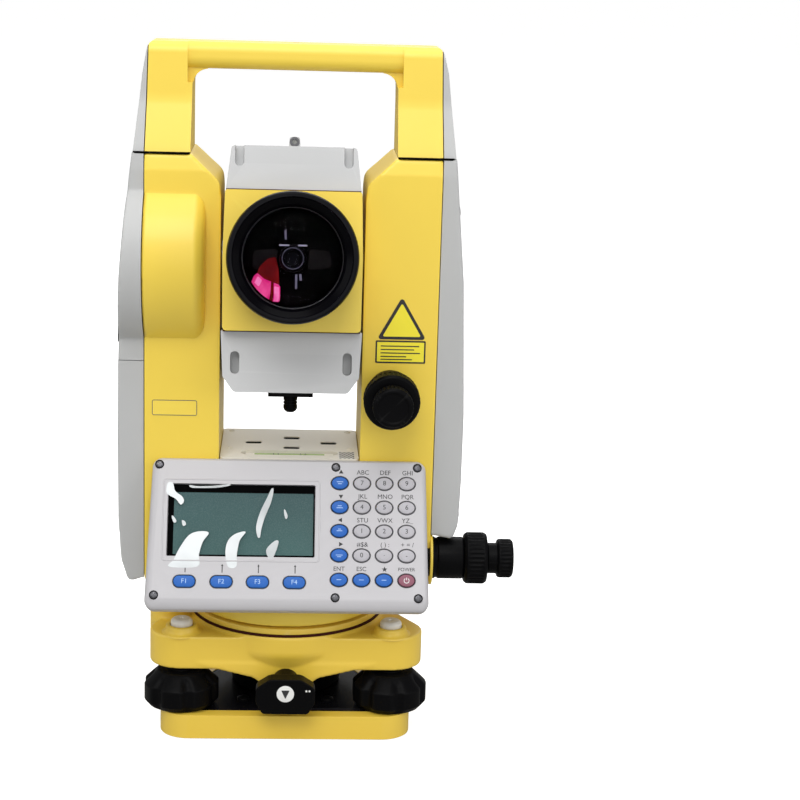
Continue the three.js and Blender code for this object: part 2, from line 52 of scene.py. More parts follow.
def pose(location, degrees, axis):
    """A turn about one axis, then a move."""
    return Matrix.Translation(location) @ Matrix.Rotation(math.radians(degrees), 4, axis)


# ------------------------------------------------------------------ shared dimensions (mm)
JOINTS = {joint["name"]: joint for joint in frame["record"]["behaviour"]["joints"]}
AXIS_X, AXIS_Y = JOINTS["alidade_turn"]["pos_m"][:2]     # in metres
MM = 0.001
TRUNNION_Z = 240.0                  # height of the tilting axis
DRUM_RADIUS = 46.0                  # round boss about the tilting axis, on the left
STANDARD_OUT, STANDARD_IN, STANDARD_TOP = 74.0, 36.0, 296.0
FRONT, REAR = -28.0, 40.0           # y of the faces of the standards
DECK_Z = 138.0                      # floor between the standards
FLANK_FRONT, FLANK_REAR = FRONT + 1, REAR - 1     # y of the faces of the side covers
FEET = {"left": (-54.0, -38.0), "right": (54.0, -38.0), "rear": (0.0, 59.0)}
LEVEL = (-61.5, -10.0)              # x, y of the circular level
LOCK_Z = 28.7                       # height of the lock knob
H_KNOBS = (-20.0, 87.0)             # y, z of the horizontal clamp and tangent knobs
V_KNOBS = (50.6, 177.6)             # x, z of the vertical clamp and tangent knobs

# Panel frame: x right, y up the slope, z out of the face; its origin is at the top edge.
PANEL_LEAN = 27
PANEL_LENGTH = 77.7
PANEL = pose((0, -32, 142.7), 90 - PANEL_LEAN, "X")
DISPLAY_LEFT, DISPLAY_RIGHT, DISPLAY_BOTTOM, DISPLAY_TOP = -61.0, 13.6, -50.8, -13.6
KEY_X = (25.9, 37.2, 48.6, 60.0)
KEY_Y = (-12.4, -24.8, -37.1, -49.5, -62.0)
F_KEY_X = (-51.6, -33.1, -14.9, 3.5)
F_KEY_Y = -63.6
PANEL_SCREWS = [(-65.7, -3.9), (23.8, -4.2), (65.4, -4.0),
                (-66.6, -70.6), (24.1, -71.0), (66.0, -71.0)]

# The telescope is drawn level with its objective to -y, then tilted up.
SCOPE = pose((0, 0, TRUNNION_Z), -10, "X")
# Faces drawn in x and y that look to -y: the standards' front and the lock knob's pointer.
FRONT_FACE = pose((0, FRONT, 0), 90, "X")
POINTER_FACE = pose((0, -66.95, LOCK_Z), 90, "X")


# ------------------------------------------------------------------ shader helpers
def fill(target, inputs):
    """Sets inputs, by name or index, to a value or links them to another node's output."""
    for key, value in inputs.items():
        if isinstance(value, bpy.types.NodeSocket):
            target.id_data.links.new(value, target.inputs[key])
        else:
            target.inputs[key].default_value = value


def node(tree, kind, inputs=None, **properties):
    made = tree.nodes.new("ShaderNode" + kind)
    for key, value in properties.items():
        setattr(made, key, value)
    fill(made, inputs or {})
    return made


def object_coords(tree):
    return node(tree, "TexCoord").outputs["Object"]


def noise(tree, coords, **settings):
    return node(tree, "TexNoise", {"Vector": coords, **settings}).outputs["Fac"]


def mix(tree, factor, first, second, **properties):
    inputs = {0: factor, 6: first, 7: second}
    return node(tree, "Mix", inputs, data_type="RGBA", **properties).outputs[2]


def multiply(tree, first, second):
    return node(tree, "Math", {0: first, 1: second}, operation="MULTIPLY").outputs[0]


def remap(tree, source, to_min, to_max, from_min=0.0, from_max=1.0):
    inputs = {"Value": source, "From Min": from_min, "From Max": from_max,
              "To Min": to_min, "To Max": to_max}
    return node(tree, "MapRange", inputs).outputs["Result"]


def ramp(tree, source, *stops):
    """A colour ramp between two (position, colour) stops."""
    made = node(tree, "ValToRGB", {"Fac": source})
    for element, (position, color) in zip(made.color_ramp.elements, stops):
        element.position = position
        element.color = (*color, 1)
    return made.outputs["Color"]


def new_material(name):
    material = bpy.data.materials.new(name)
    material.use_nodes = True
    tree = material.node_tree
    return material, tree, tree.nodes["Principled BSDF"]


# ------------------------------------------------------------------ materials
BLACK, WHITE = (0, 0, 0), (1, 1, 1)


def plastic(name, base, rough=0.45, metal=0.0, drift=0.05, grain=1500.0, bump=0.25, wear=0.25,
            coat=0.0, specular=0.5, hollow_shade=0.12, wear_color=None, blotch=14.0):
    """A moulded or painted surface: fine grain bump, soft colour drift, rubbed edges and painted
    shade in the hollows. grain and blotch are the noise scales of the bump and the drift."""
    material, tree, bsdf = new_material(name)
    coords = object_coords(tree)
    broad = noise(tree, coords, Scale=blotch, Detail=4.0, Roughness=0.6)
    fine = noise(tree, coords, Scale=grain, Detail=2.0, Roughness=0.5)
    smear = noise(tree, coords, Scale=70.0, Detail=6.0, Roughness=0.7)
    darker = tuple(c * (1 - drift) for c in base)
    lighter = tuple(min(1, c * (1 + drift)) for c in base)
    color = mix(tree, broad, (*darker, 1), (*lighter, 1))
    pointiness = node(tree, "NewGeometry").outputs["Pointiness"]
    edges = ramp(tree, pointiness, (0.515, BLACK), (0.60, WHITE))
    worn = multiply(tree, multiply(tree, edges, smear), wear)
    rubbed = wear_color or tuple(min(1, c * 1.25 + 0.05) for c in base)
    color = mix(tree, worn, color, (*rubbed, 1))
    # Painted shade: hollows are darkened towards a third of the base colour.
    hollows = ramp(tree, pointiness, (0.40, WHITE), (0.485, BLACK))
    hollow_shade_mix = multiply(tree, hollows, hollow_shade)
    color = mix(tree, hollow_shade_mix, color, (*(c * 0.35 for c in base), 1))
    roughness = remap(tree, smear, max(0.03, rough - 0.07), min(1, rough + 0.09))
    relief = node(tree, "Bump", {"Strength": bump, "Distance": 0.00012, "Height": fine})
    fill(bsdf, {"Base Color": color, "Roughness": roughness, "Normal": relief.outputs["Normal"],
                "Metallic": metal, "Specular IOR Level": specular, "Coat Weight": coat,
                "Coat Roughness": 0.18})
    material.diffuse_color = (*base, 1)
    return material


def optical_glass():
    material, tree, bsdf = new_material("optical_glass")
    smudges = noise(tree, object_coords(tree), Scale=90.0, Detail=5.0)
    fill(bsdf, {"Base Color": (0.78, 0.76, 0.92, 1), "Transmission Weight": 1.0, "IOR": 1.055,
                "Roughness": remap(tree, smudges, 0.0, 0.05)})
    return material


def glow(name, first, second, strength):
    """Coated glass face: a two-colour drift, painted as a glow by emission so that it still reads
    in shade.
    """
    material = plastic(name, first, rough=0.25, drift=0.1, bump=0.0, wear=0.0, hollow_shade=0.0,
                       specular=0.04)
    tree = material.node_tree
    clouds = noise(tree, object_coords(tree), Scale=110.0, Detail=3.0, Distortion=0.6)
    fill(tree.nodes["Principled BSDF"], {
        "Emission Color": ramp(tree, clouds, (0.38, first), (0.62, second)),
        "Emission Strength": strength})
    return material


def sheer(name, tint, rough, body):
    """Clear moulding or fluid: mostly see-through, with a faint milky body and a glossy skin
    that follows the viewing angle."""
    material, tree, bsdf = new_material(name)
    smudges = noise(tree, object_coords(tree), Scale=120.0, Detail=4.0)
    fill(bsdf, {"Base Color": (*tint, 1),
                "Roughness": remap(tree, smudges, rough, rough + 0.06)})
    through = node(tree, "BsdfTransparent", {"Color": (*tint, 1)})
    facing = node(tree, "LayerWeight", {"Blend": 0.25}).outputs["Facing"]
    share = remap(tree, facing, body, 0.85)
    shader = node(tree, "MixShader", {0: share, 1: through.outputs[0], 2: bsdf.outputs[0]})
    fill(tree.nodes["Material Output"], {"Surface": shader.outputs[0]})
    return material


def lcd():
    """Display glass: painted shade darker up the slope, faintly clouded, with a fine cell pattern.
    """
    material, tree, bsdf = new_material("lcd_glass")
    coords = object_coords(tree)
    cells = node(tree, "TexVoronoi", {"Vector": coords, "Scale": 1900.0}, distance="CHEBYCHEV")
    axes = node(tree, "SeparateXYZ", {0: coords})
    height = remap(tree, axes.outputs["Z"], 0.0, 1.0, from_min=0.097, from_max=0.131)
    clouds = noise(tree, coords, Scale=22.0, Detail=3.0)
    # Painted shade: the glass darkens from the bottom of the display to its top.
    color = mix(tree, height, (0.050, 0.128, 0.124, 1), (0.026, 0.084, 0.090, 1))
    color = mix(tree, 0.35, color, clouds, blend_type="MULTIPLY")
    color = mix(tree, 0.04, color, cells.outputs["Distance"])
    fill(bsdf, {"Base Color": color, "Roughness": 0.16, "Specular IOR Level": 0.10,
                "Coat Weight": 0.0, "Coat Roughness": 0.04})
    return material


def film(name, thinnest, thickest):
    """Light caught by a clear sheet, its opacity fading slowly along its length."""
    material = plastic(name, (0.80, 0.84, 0.86), rough=0.2, drift=0.03, grain=300, bump=0.15,
                       wear=0.0, hollow_shade=0.0, coat=0.4)
    tree = material.node_tree
    clouds = noise(tree, object_coords(tree), Scale=48.0, Detail=1.0, Roughness=0.4)
    alpha = remap(tree, clouds, thinnest, thickest, from_min=0.36, from_max=0.62)
    fill(tree.nodes["Principled BSDF"], {"Alpha": alpha})
    return material


def flat_print(name, base, rough=0.55, drift=0.3):
    return plastic(name, base, rough=rough, drift=drift, grain=900, bump=0.1, wear=0.0,
                   blotch=200)


MATERIALS = {
    "yellow": plastic("yellow_paint", (0.87, 0.635, 0.072), rough=0.40, drift=0.035, grain=2200,
                      bump=0.16, wear=0.30, coat=0.12, hollow_shade=0.25),
    "yellow_cast": plastic("yellow_cast_paint", (0.84, 0.580, 0.062), rough=0.42, bump=0.30,
                           wear=0.45, coat=0.15, hollow_shade=0.35, wear_color=(0.75, 0.66, 0.42)),
    "grey": plastic("grey_moulding", (0.47, 0.475, 0.475), rough=0.5, drift=0.03, grain=1800,
                    bump=0.28, hollow_shade=0.2),
    "light": plastic("light_moulding", (0.56, 0.565, 0.57), rough=0.46, drift=0.03, grain=1900,
                     bump=0.24, wear=0.2, hollow_shade=0.2),
    "panel": plastic("panel_face", (0.505, 0.495, 0.515), rough=0.42, drift=0.02, grain=2400,
                     bump=0.15, wear=0.1, hollow_shade=0.1),
    "cream": plastic("ivory_paint", (0.84, 0.80, 0.70), rough=0.38, grain=1300, bump=0.2,
                     wear=0.3, coat=0.2, hollow_shade=0.3),
    "black": plastic("black_moulding", (0.0022, 0.0022, 0.0026), rough=0.36, drift=0.2,
                     bump=0.3, wear=0.35, hollow_shade=0.2, specular=0.055,
                     wear_color=(0.02, 0.02, 0.021)),
    "anodised": plastic("black_anodised", (0.0013, 0.0012, 0.0022), rough=0.24, drift=0.2,
                        grain=2500, bump=0.12, wear=0.4, specular=0.045,
                        wear_color=(0.06, 0.06, 0.065)),
    "rubber": plastic("black_rubber", (0.0022, 0.0022, 0.0026), rough=0.40, drift=0.2,
                      grain=1200, bump=0.35, wear=0.4, specular=0.055,
                      wear_color=(0.03, 0.03, 0.03)),
    "matt": plastic("matt_black_lining", (0.0008, 0.0008, 0.001), rough=0.6, specular=0.02,
                    drift=0.2, grain=900, bump=0.3, wear=0.0),
    "steel": plastic("machined_steel", (0.52, 0.53, 0.55), rough=0.28, metal=1.0, drift=0.08,
                     grain=1400, bump=0.15, wear=0.2),
    "blued": plastic("blued_steel", (0.10, 0.10, 0.11), rough=0.3, metal=0.9, drift=0.2,
                     grain=1400, bump=0.2, wear=0.6, wear_color=(0.4, 0.4, 0.42)),
    "brass": plastic("machined_brass", (0.60, 0.42, 0.16), rough=0.3, metal=1.0, drift=0.1,
                     grain=1400, bump=0.15, wear=0.2),
    "ivory": plastic("ivory_plastic", (0.80, 0.77, 0.70), rough=0.4, drift=0.04, grain=1600,
                     bump=0.15, wear=0.1),
    "blue": plastic("blue_key_rubber", (0.022, 0.125, 0.47), rough=0.42, drift=0.10,
                    grain=2600, bump=0.2, wear=0.30, specular=0.25,
                    wear_color=(0.20, 0.42, 0.80), blotch=300),
    "pale_blue": plastic("blue_key_print", (0.40, 0.58, 0.86), rough=0.5, bump=0.0, wear=0.0),
    "key_grey": plastic("grey_key_rubber", (0.44, 0.43, 0.46), rough=0.5, drift=0.06,
                        grain=2600, bump=0.2, wear=0.3, blotch=300),
    "key_red": plastic("red_key_rubber", (0.27, 0.105, 0.145), rough=0.5, specular=0.25,
                       drift=0.06, grain=2600, bump=0.2, wear=0.3, blotch=300),
    "ink": flat_print("black_print", (0.02, 0.02, 0.022)),
    "grey_ink": flat_print("grey_print", (0.10, 0.10, 0.11), drift=0.2),
    "white": flat_print("white_print", (0.80, 0.80, 0.78), rough=0.4, drift=0.04),
    "sign": plastic("sign_foil", (0.90, 0.78, 0.03), rough=0.3, drift=0.03, grain=700,
                    bump=0.08, wear=0.0, coat=0.4),
    "seal": plastic("seal_rubber", (0.040, 0.006, 0.004), rough=0.55, specular=0.1, drift=0.2,
                    grain=1200, bump=0.2, wear=0.0),
    # Coatings inside the objective, each with a painted glow by emission.
    "pink": glow("pink_coating_painted_glow", (0.62, 0.01, 0.13), (0.98, 0.12, 0.33), strength=0.72),
    "red": glow("red_coating_painted_glow", (0.10, 0.002, 0.002), (0.46, 0.012, 0.010), strength=0.40),
    "glass": optical_glass(),
    "clear": sheer("clear_plastic", (0.95, 0.96, 0.94), rough=0.10, body=0.20),
    "fluid": sheer("level_fluid", (0.72, 0.93, 0.40), rough=0.03, body=0.32),
    "lcd": lcd(),
    "film": film("film_glint", 0.72, 0.92),
    "film_thin": film("film_glint_thin", 0.42, 0.66),
    "rose": glow("rose_coating_painted_glow", (0.80, 0.08, 0.28), (1.0, 0.38, 0.58), strength=0.75),
    # A dim painted haze of light inside the objective.
    "haze": plastic("inner_painted_haze", (0.020, 0.017, 0.013), rough=0.5, drift=0.6, grain=300,
                    bump=0.2, wear=0.0, blotch=260, specular=0.03),
}


# ------------------------------------------------------------------ outlines and profiles
def circle(radius, count=48, x=0.0, y=0.0, radius_y=None, start=0.0):
    radius_y = radius if radius_y is None else radius_y
    angles = [start + 2 * math.pi * i / count for i in range(count)]
    return [(x + radius * math.cos(a), y + radius_y * math.sin(a)) for a in angles]


def rounded(points, steps=6):
    """Closed outline of (x, y[, corner radius]) points, its corners turned into arcs."""
    outline, count = [], len(points)
    for i in range(count):
        x, y = points[i][0], points[i][1]
        radius = points[i][2] if len(points[i]) > 2 else 0
        if not radius:
            outline.append((x, y))
            continue
        before, after = points[i - 1], points[(i + 1) % count]
        to_before = Vector((before[0] - x, before[1] - y)).normalized()
        to_after = Vector((after[0] - x, after[1] - y)).normalized()
        half = math.acos(max(-1, min(1, to_before.dot(to_after)))) / 2
        reach = radius / math.tan(half)
        corner = Vector((x, y))
        center = corner + (to_before + to_after).normalized() * (radius / math.sin(half))
        first = corner + to_before * reach - center
        last = corner + to_after * reach - center
        start, end = math.atan2(first[1], first[0]), math.atan2(last[1], last[0])
        while end - start > math.pi:
            end -= 2 * math.pi
        while end - start < -math.pi:
            end += 2 * math.pi
        for k in range(steps + 1):
            angle = start + (end - start) * k / steps
            outline.append((center[0] + radius * math.cos(angle),
                            center[1] + radius * math.sin(angle)))
    return outline


def rect(x0, x1, y0, y1, radius=0, steps=6):
    return rounded([(x0, y0, radius), (x1, y0, radius), (x1, y1, radius), (x0, y1, radius)],
                   steps)


def centred(x, y, half_x, half_y, radius=0, steps=6):
    return rect(x - half_x, x + half_x, y - half_y, y + half_y, radius, steps)


def mirrored(right_half):
    """Outline from its right half, given from one end to the other."""
    return [(-point[0], *point[1:]) for point in right_half] + right_half[::-1]


def hull(circles, count=64):
    """Convex outline around (x, y, radius) circles."""
    points = sorted({(round(px, 5), round(py, 5)) for x, y, radius in circles
                     for px, py in circle(radius, count, x, y)})

    def half(ordered):
        chain = []
        for x, y in ordered:
            while len(chain) > 1:
                (ax, ay), (bx, by) = chain[-2:]
                if (bx - ax) * (y - ay) - (by - ay) * (x - ax) > 1e-6:
                    break
                chain.pop()
            chain.append((x, y))
        return chain[:-1]
    return half(points) + half(points[::-1])


def disc(radius, low, high):
    """Lathe profile of a plain solid disc."""
    return [(0, low), (radius, low), (radius, high), (0, high)]


def ring(inner, outer, low, high):
    """Lathe profile of a plain ring."""
    return [(inner, low), (outer, low), (outer, high), (inner, high), (inner, low)]


def soften(profile, radius, steps=3):
    """Rounds the corners of a lathe profile (open or closed) by about radius."""
    closed = profile[0] == profile[-1]
    points = [Vector(p) for p in (profile[:-1] if closed else profile)]
    count = len(points)
    result = []
    for i, corner in enumerate(points):
        if not closed and i in (0, count - 1):
            result.append(tuple(corner))
            continue
        before, after = points[i - 1] - corner, points[(i + 1) % count] - corner
        reach = min(radius, before.length * 0.45, after.length * 0.45)
        start = corner + before.normalized() * reach
        end = corner + after.normalized() * reach
        for k in range(steps + 1):
            w = k / steps
            point = start * (1 - w) ** 2 + corner * 2 * w * (1 - w) + end * w ** 2
            result.append((max(point[0], 0.0), point[1]))
    if closed:
        result.append(result[0])
    return result


# ------------------------------------------------------------------ solids
def to_object(bm):
    mesh = bpy.data.meshes.new("tmp")
    bmesh.ops.recalc_face_normals(bm, faces=bm.faces)
    bm.to_mesh(mesh)
    bm.free()
    shape = bpy.data.objects.new("tmp", mesh)
    scene.collection.objects.link(shape)
    return shape


def loft(rows):
    """Closed solid through rows of 3D points, all with the same count."""
    bm = bmesh.new()
    loops = [[bm.verts.new(point) for point in row] for row in rows]
    count = len(loops[0])
    bm.faces.new(loops[0][::-1])
    bm.faces.new(loops[-1])
    for low, high in zip(loops, loops[1:]):
        for i in range(count):
            j = (i + 1) % count
            bm.faces.new((low[i], low[j], high[j], high[i]))
    return to_object(bm)


def stack(*layers):
    """Loft through (outline, height) layers."""
    return loft([[(x, y, height) for x, y in outline] for outline, height in layers])


def prism(points, start, end, axis="Z"):
    """Outline drawn in the other two axes, taken in order, and drawn out along this one."""
    def row(h):
        if axis == "Z":
            return [(a, b, h) for a, b in points]
        if axis == "Y":
            return [(a, h, b) for a, b in points]
        return [(h, a, b) for a, b in points]
    return loft([row(start), row(end)])


def block(x0, x1, y0, y1, z0, z1):
    return prism(rect(x0, x1, y0, y1), z0, z1)


LATHE_AXES = {
    "Z": Matrix.Identity(4),
    "X": Matrix.Rotation(math.pi / 2, 4, "Y"),
    "-Y": Matrix.Rotation(math.pi / 2, 4, "X"),
}


def lathe(profile, count=64, axis="Z", at=(0, 0, 0), soft=0, reshape=None):
    """Turns a profile of (radius, height) that starts and ends on the axis, or closes on
    itself. soft rounds its corners; reshape(radius, height, angle) can alter the radius."""
    if soft:
        profile = soften(profile, soft)
    closed = profile[0] == profile[-1]
    if closed:
        profile = profile[:-1]
    bm = bmesh.new()
    rows = []
    for radius, height in profile:
        if radius < 1e-6:
            rows.append([bm.verts.new((0, 0, height))])
            continue
        row = []
        for i in range(count):
            a = 2 * math.pi * i / count
            r = reshape(radius, height, a) if reshape else radius
            row.append(bm.verts.new((r * math.cos(a), r * math.sin(a), height)))
        rows.append(row)
    pairs = list(zip(rows, rows[1:])) + ([(rows[-1], rows[0])] if closed else [])
    for low, high in pairs:
        for i in range(count):
            j = (i + 1) % count
            if len(low) == 1:
                bm.faces.new((low[0], high[j], high[i]))
            elif len(high) == 1:
                bm.faces.new((low[i], low[j], high[0]))
            else:
                bm.faces.new((low[i], low[j], high[j], high[i]))
    return place(to_object(bm), Matrix.Translation(at) @ LATHE_AXES[axis])


def strip(points, half_width, low, high, closed=False):
    """A thin raised line along a path in x and y."""
    count = len(points)
    left, right = [], []
    for i in range(count):
        before = Vector(points[i - 1] if (closed or i) else points[0])
        after = Vector(points[(i + 1) % count] if (closed or i < count - 1) else points[-1])
        along = (after - before).normalized()
        across = Vector((-along[1], along[0])) * half_width
        left.append(Vector(points[i]) + across)
        right.append(Vector(points[i]) - across)
    bm = bmesh.new()
    left_low, left_high, right_low, right_high = [
        [bm.verts.new((*point, height)) for point in side]
        for side in (left, right) for height in (low, high)]
    for i in range(count if closed else count - 1):
        j = (i + 1) % count
        for a, b in ((left_low, left_high), (right_low, right_high),
                     (left_high, right_high), (left_low, right_low)):
            bm.faces.new((a[i], a[j], b[j], b[i]))
    if not closed:
        for i in (0, count - 1):
            bm.faces.new((left_low[i], left_high[i], right_high[i], right_low[i]))
    return to_object(bm)


def text(words, size, depth):
    curve = bpy.data.curves.new("glyph", "FONT")
    curve.body = words
    curve.size = size
    curve.align_x = "CENTER"
    curve.align_y = "CENTER"
    curve.extrude = depth
    curve.resolution_u = 3
    source = bpy.data.objects.new("glyph", curve)
    scene.collection.objects.link(source)
    shape = bpy.data.objects.new("glyph", evaluated_mesh(source))
    bpy.data.objects.remove(source, do_unlink=True)
    scene.collection.objects.link(shape)
    return shape


# ------------------------------------------------------------------ working on solids
def place(shape, matrix):
    shape.data.transform(matrix)
    return shape


def move(shape, *offset):
    return place(shape, Matrix.Translation(offset))


def evaluated_mesh(shape):
    depsgraph = bpy.context.evaluated_depsgraph_get()
    depsgraph.update()
    return bpy.data.meshes.new_from_object(shape.evaluated_get(depsgraph))


def bake(shape):
    """Applies the modifiers."""
    mesh = evaluated_mesh(shape)
    shape.modifiers.clear()
    old = shape.data
    shape.data = mesh
    bpy.data.meshes.remove(old)


def combine(target, operation, *others, solvers=("MANIFOLD", "EXACT")):
    """Boolean with each other shape in turn, which is used up. The next solver is tried
    where one leaves next to nothing."""
    for other in others:
        before = target.data.copy()
        for solver in solvers:
            boolean = target.modifiers.new("csg", "BOOLEAN")
            boolean.operation = operation
            boolean.solver = solver
            boolean.object = other
            bake(target)
            if len(target.data.polygons) > 3:
                break
            target.data = before.copy()
        bpy.data.meshes.remove(before)
        bpy.data.objects.remove(other, do_unlink=True)
    return target


def cut(target, *others):
    return combine(target, "DIFFERENCE", *others)


def add(target, *others):
    return combine(target, "UNION", *others)


def common(target, other):
    return combine(target, "INTERSECT", other)


def merge(*shapes):
    """Several closed shells in one object, without a boolean."""
    bm = bmesh.new()
    for shape in shapes:
        bm.from_mesh(shape.data)
        bpy.data.objects.remove(shape, do_unlink=True)
    return to_object(bm)


def fuse(shape, voxel, rounds):
    """Melts a joined shape into one casting with small fillets."""
    remesh = shape.modifiers.new("r", "REMESH")
    remesh.mode = "VOXEL"
    remesh.voxel_size = voxel
    remesh.adaptivity = 0.0
    smooth = shape.modifiers.new("s", "SMOOTH")
    smooth.factor = 0.5
    smooth.iterations = rounds
    bake(shape)


def add_bevel(shape, width, segments, angle):
    weld = shape.modifiers.new("weld", "WELD")
    weld.merge_threshold = 2e-6
    flat = shape.modifiers.new("flat", "DECIMATE")
    flat.decimate_type = "DISSOLVE"
    flat.angle_limit = math.radians(0.4)
    bevel = shape.modifiers.new("bevel", "BEVEL")
    bevel.width = width * MM
    bevel.segments = segments
    bevel.limit_method = "ANGLE"
    bevel.angle_limit = math.radians(angle)
    bevel.use_clamp_overlap = True
    bevel.miter_outer = "MITER_ARC"
    bevel.harden_normals = False
    normals = shape.modifiers.new("wn", "WEIGHTED_NORMAL")
    normals.keep_sharp = True
    normals.weight = 60


def finish(shape, name, material, body="alidade", matrix=None, replaces=None, slot=None,
           bevel=0.0, segments=3, bevel_angle=32, smooth=35):
    """Places a shape in metres, names and shades it, and hands it to its moving body.
    smooth is the angle in degrees above which an edge stays sharp."""
    if matrix is not None:
        place(shape, matrix)
    place(shape, Matrix.Translation((AXIS_X, AXIS_Y, 0)) @ Matrix.Scale(MM, 4))
    shape.name = name
    shape.data.name = name
    shape.data.materials.clear()
    shape.data.materials.append(MATERIALS[material])
    for polygon in shape.data.polygons:
        polygon.material_index = 0
        polygon.use_smooth = True
    shape.data.set_sharp_from_angle(angle=math.radians(smooth))
    if bevel:
        add_bevel(shape, bevel, segments, bevel_angle)
    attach(shape, body)
    if replaces:
        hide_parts(replaces)


def on_scope(shape, name, material, body="telescope", **options):
    finish(shape, name, material, body, SCOPE, **options)


def on_panel(shape, name, material, body="alidade", **options):
    finish(shape, name, material, body, PANEL, **options)


def screw(radius, height):
    """Socket head that looks along z and stands this high above z 0."""
    head = lathe(disc(radius, -1.2, height), 32, soft=0.35)
    return cut(head, prism(circle(radius * 0.52, 6), height - 0.54 * radius, height + 1))


# ================================================================== tribrach
def base_plate():
    def corners(radius):
        return hull([(-50.5, -39, radius), (50.5, -39, radius), (0, 57, radius)])

    plate = prism(hull([(-49.5, -42, 15), (49.5, -42, 15), (0, 58, 16)], 96), 0, 12.5)
    cut(plate, prism(corners(10.6), 10.5, 20), prism(circle(8, 64), -5, 20))
    for foot in FEET.values():
        cut(plate, prism(circle(4.6, 32, *foot), 5.5, 20))
    finish(plate, "base_plate_casting", "yellow_cast", "tribrach", replaces="base_plate",
           slot="alu", bevel=1.8, segments=4)

    head = [(0, 10.4), (3.2, 10.4), (3.2, 13.6), (0, 14.2)]
    heads = [lathe(head, 32, at=(x, y, 0), soft=0.5) for x, y in ((-22, -34), (22, -34), (0, 40))]
    finish(merge(*heads), "spring_plate_screws", "black", "tribrach")

    sheet = prism(corners(10.2), 10.8, 12.2)
    cut(sheet, prism(circle(12, 48), 5, 20))
    for foot in FEET.values():
        cut(sheet, prism(circle(5, 32, *foot), 5, 20))
    finish(sheet, "spring_plate_sheet", "anodised", "tribrach", replaces="spring_plate",
           slot="steel", bevel=0.3, segments=2)


def finger_hollows(radius, height, angle):
    """Seven hollows round a foot screw knob, fading out at its top and bottom."""
    count, depth, low, high, fade = 7, 2.0, 12.4, 31.0, 3.5
    if radius < 12:
        return radius
    rise = max(0.0, min(1.0, (height - low) / fade, (high - height) / fade))
    rise = rise * rise * (3 - 2 * rise)
    hollow = max(0.0, math.cos(count * (angle - math.pi / count))) ** 2
    return radius - depth * hollow * rise


def foot_screws():
    knob_profile = [(0, 6), (4.1, 6), (4.1, 12.9), (16.8, 12.9), (19.3, 15.9)]
    knob_profile += [(19.3, 16.6 + k * 1.15) for k in range(7)]
    knob_profile += [(19.3, 24.6), (17.3, 26.6), (14.6, 29.2), (12, 31.6), (7.0, 31.6),
                     (6.6, 32.6), (0, 32.6)]
    root, crest, bottom, pitch, turns = 4.6, 5.2, 32.0, 0.7, 29
    thread = [(0, bottom)]
    for k in range(turns):
        thread += [(root, bottom + pitch * k), (crest, bottom + pitch * (k + 0.5))]
    top = bottom + pitch * turns
    thread += [(root, top), (0, top)]
    cap = [(0, 50.6), (5.6, 50.6), (5.6, 57.2), (4.4, 58.5), (1.2, 58.5), (1.0, 57.9), (0, 57.9)]
    for side, (x, y) in FEET.items():
        body, at = f"foot_screw_{side}", (x, y, 0)
        finish(lathe(knob_profile, 126, at=at, soft=0.8, reshape=finger_hollows),
               f"{body}_knob", "rubber", body, replaces=body, slot="alublack", smooth=38)
        finish(lathe(thread, 40, at=at), f"{body}_stem", "steel", body)
        finish(lathe(cap, 48, at=at, soft=0.6), f"{body}_cap", "ivory", body)


def tribrach_body():
    """Three corners, concave flanks, a round rim, a lock apron and a level boss, melted into
    one casting, with its bushes, barrel and lock ring."""
    body = prism(hull([(-54.6, -31.4, 16), (54.6, -31.4, 16), (0, 62.3, 16)], 96), 34, 51.4)
    for k in range(3):
        a = math.radians(-90 + 120 * k)
        cut(body, prism(circle(62, 96, math.cos(a) * 108.5, math.sin(a) * 108.5), 20, 80))
    rim = [(0, 28.5), (37.8, 28.5), (37.8, 33), (47.6, 34.6), (48.6, 36.6), (51.2, 42),
           (51.6, 44), (51.6, 52.2), (50.9, 53), (0, 53)]
    add(body, lathe(rim, 128))
    apron = [(46, 37.5), (40, 35.2), (28, 32.2), (17, 29.6), (9, 24.0), (7.0, 21.8)]
    add(body, prism(mirrored(apron), -47.9, -36.5, "Y"))
    add(body, prism(circle(10.6, 64, *LEVEL), 36, 57))
    fuse(body, 0.8, 5)
    cut(body, prism(circle(17.8, 64), 20, 60), prism(circle(34.6, 96), 20, 38),
        prism(circle(8.7, 48, *LEVEL), 50, 65))
    for foot in FEET.values():
        cut(body, prism(circle(5.9, 40, *foot), 20, 60))
    cut(body, lathe(disc(4.9, 30, 60), 32, "-Y", (0, 0, LOCK_Z)))
    for sign in (-1, 1):
        cut(body, move(prism(circle(0.9, 20), -6, 6, "X"), sign * 70.3, -33.5, 42.5))
    finish(body, "tribrach_casting", "yellow_cast", "tribrach", replaces="tribrach_body",
           slot="alu", smooth=50)

    bush = [(5.95, 50.4), (10.6, 50.4), (10.4, 51.4), (9.2, 51.9), (8.4, 53.0), (8.0, 54.9),
            (7.4, 55.4), (5.95, 55.4), (5.95, 50.4)]
    for side, (x, y) in FEET.items():
        finish(lathe(bush, 48, at=(x, y, 0), soft=0.5), f"foot_bush_{side}", "yellow_cast",
               "tribrach")

    def flutes(radius, height, angle):
        fluted = radius > 28 and math.cos(24 * angle) > 0.6 and 15 < height < 24
        return radius - (0.7 if fluted else 0)

    barrel = [(14, 13.2), (29, 13.2), (29, 25.6), (34, 25.6), (34, 28.6), (14, 28.6), (14, 13.2)]
    finish(lathe(barrel, 96, soft=0.8, reshape=flutes), "tribrach_barrel_shell", "black",
           "tribrach", replaces="tribrach_barrel", slot="dark")
    finish(lathe(ring(18.4, 34.2, 29, 37.6), 96, soft=0.5), "lock_ring_turned", "brass",
           "lock_ring", replaces="tribrach_lock_ring", slot="brass")


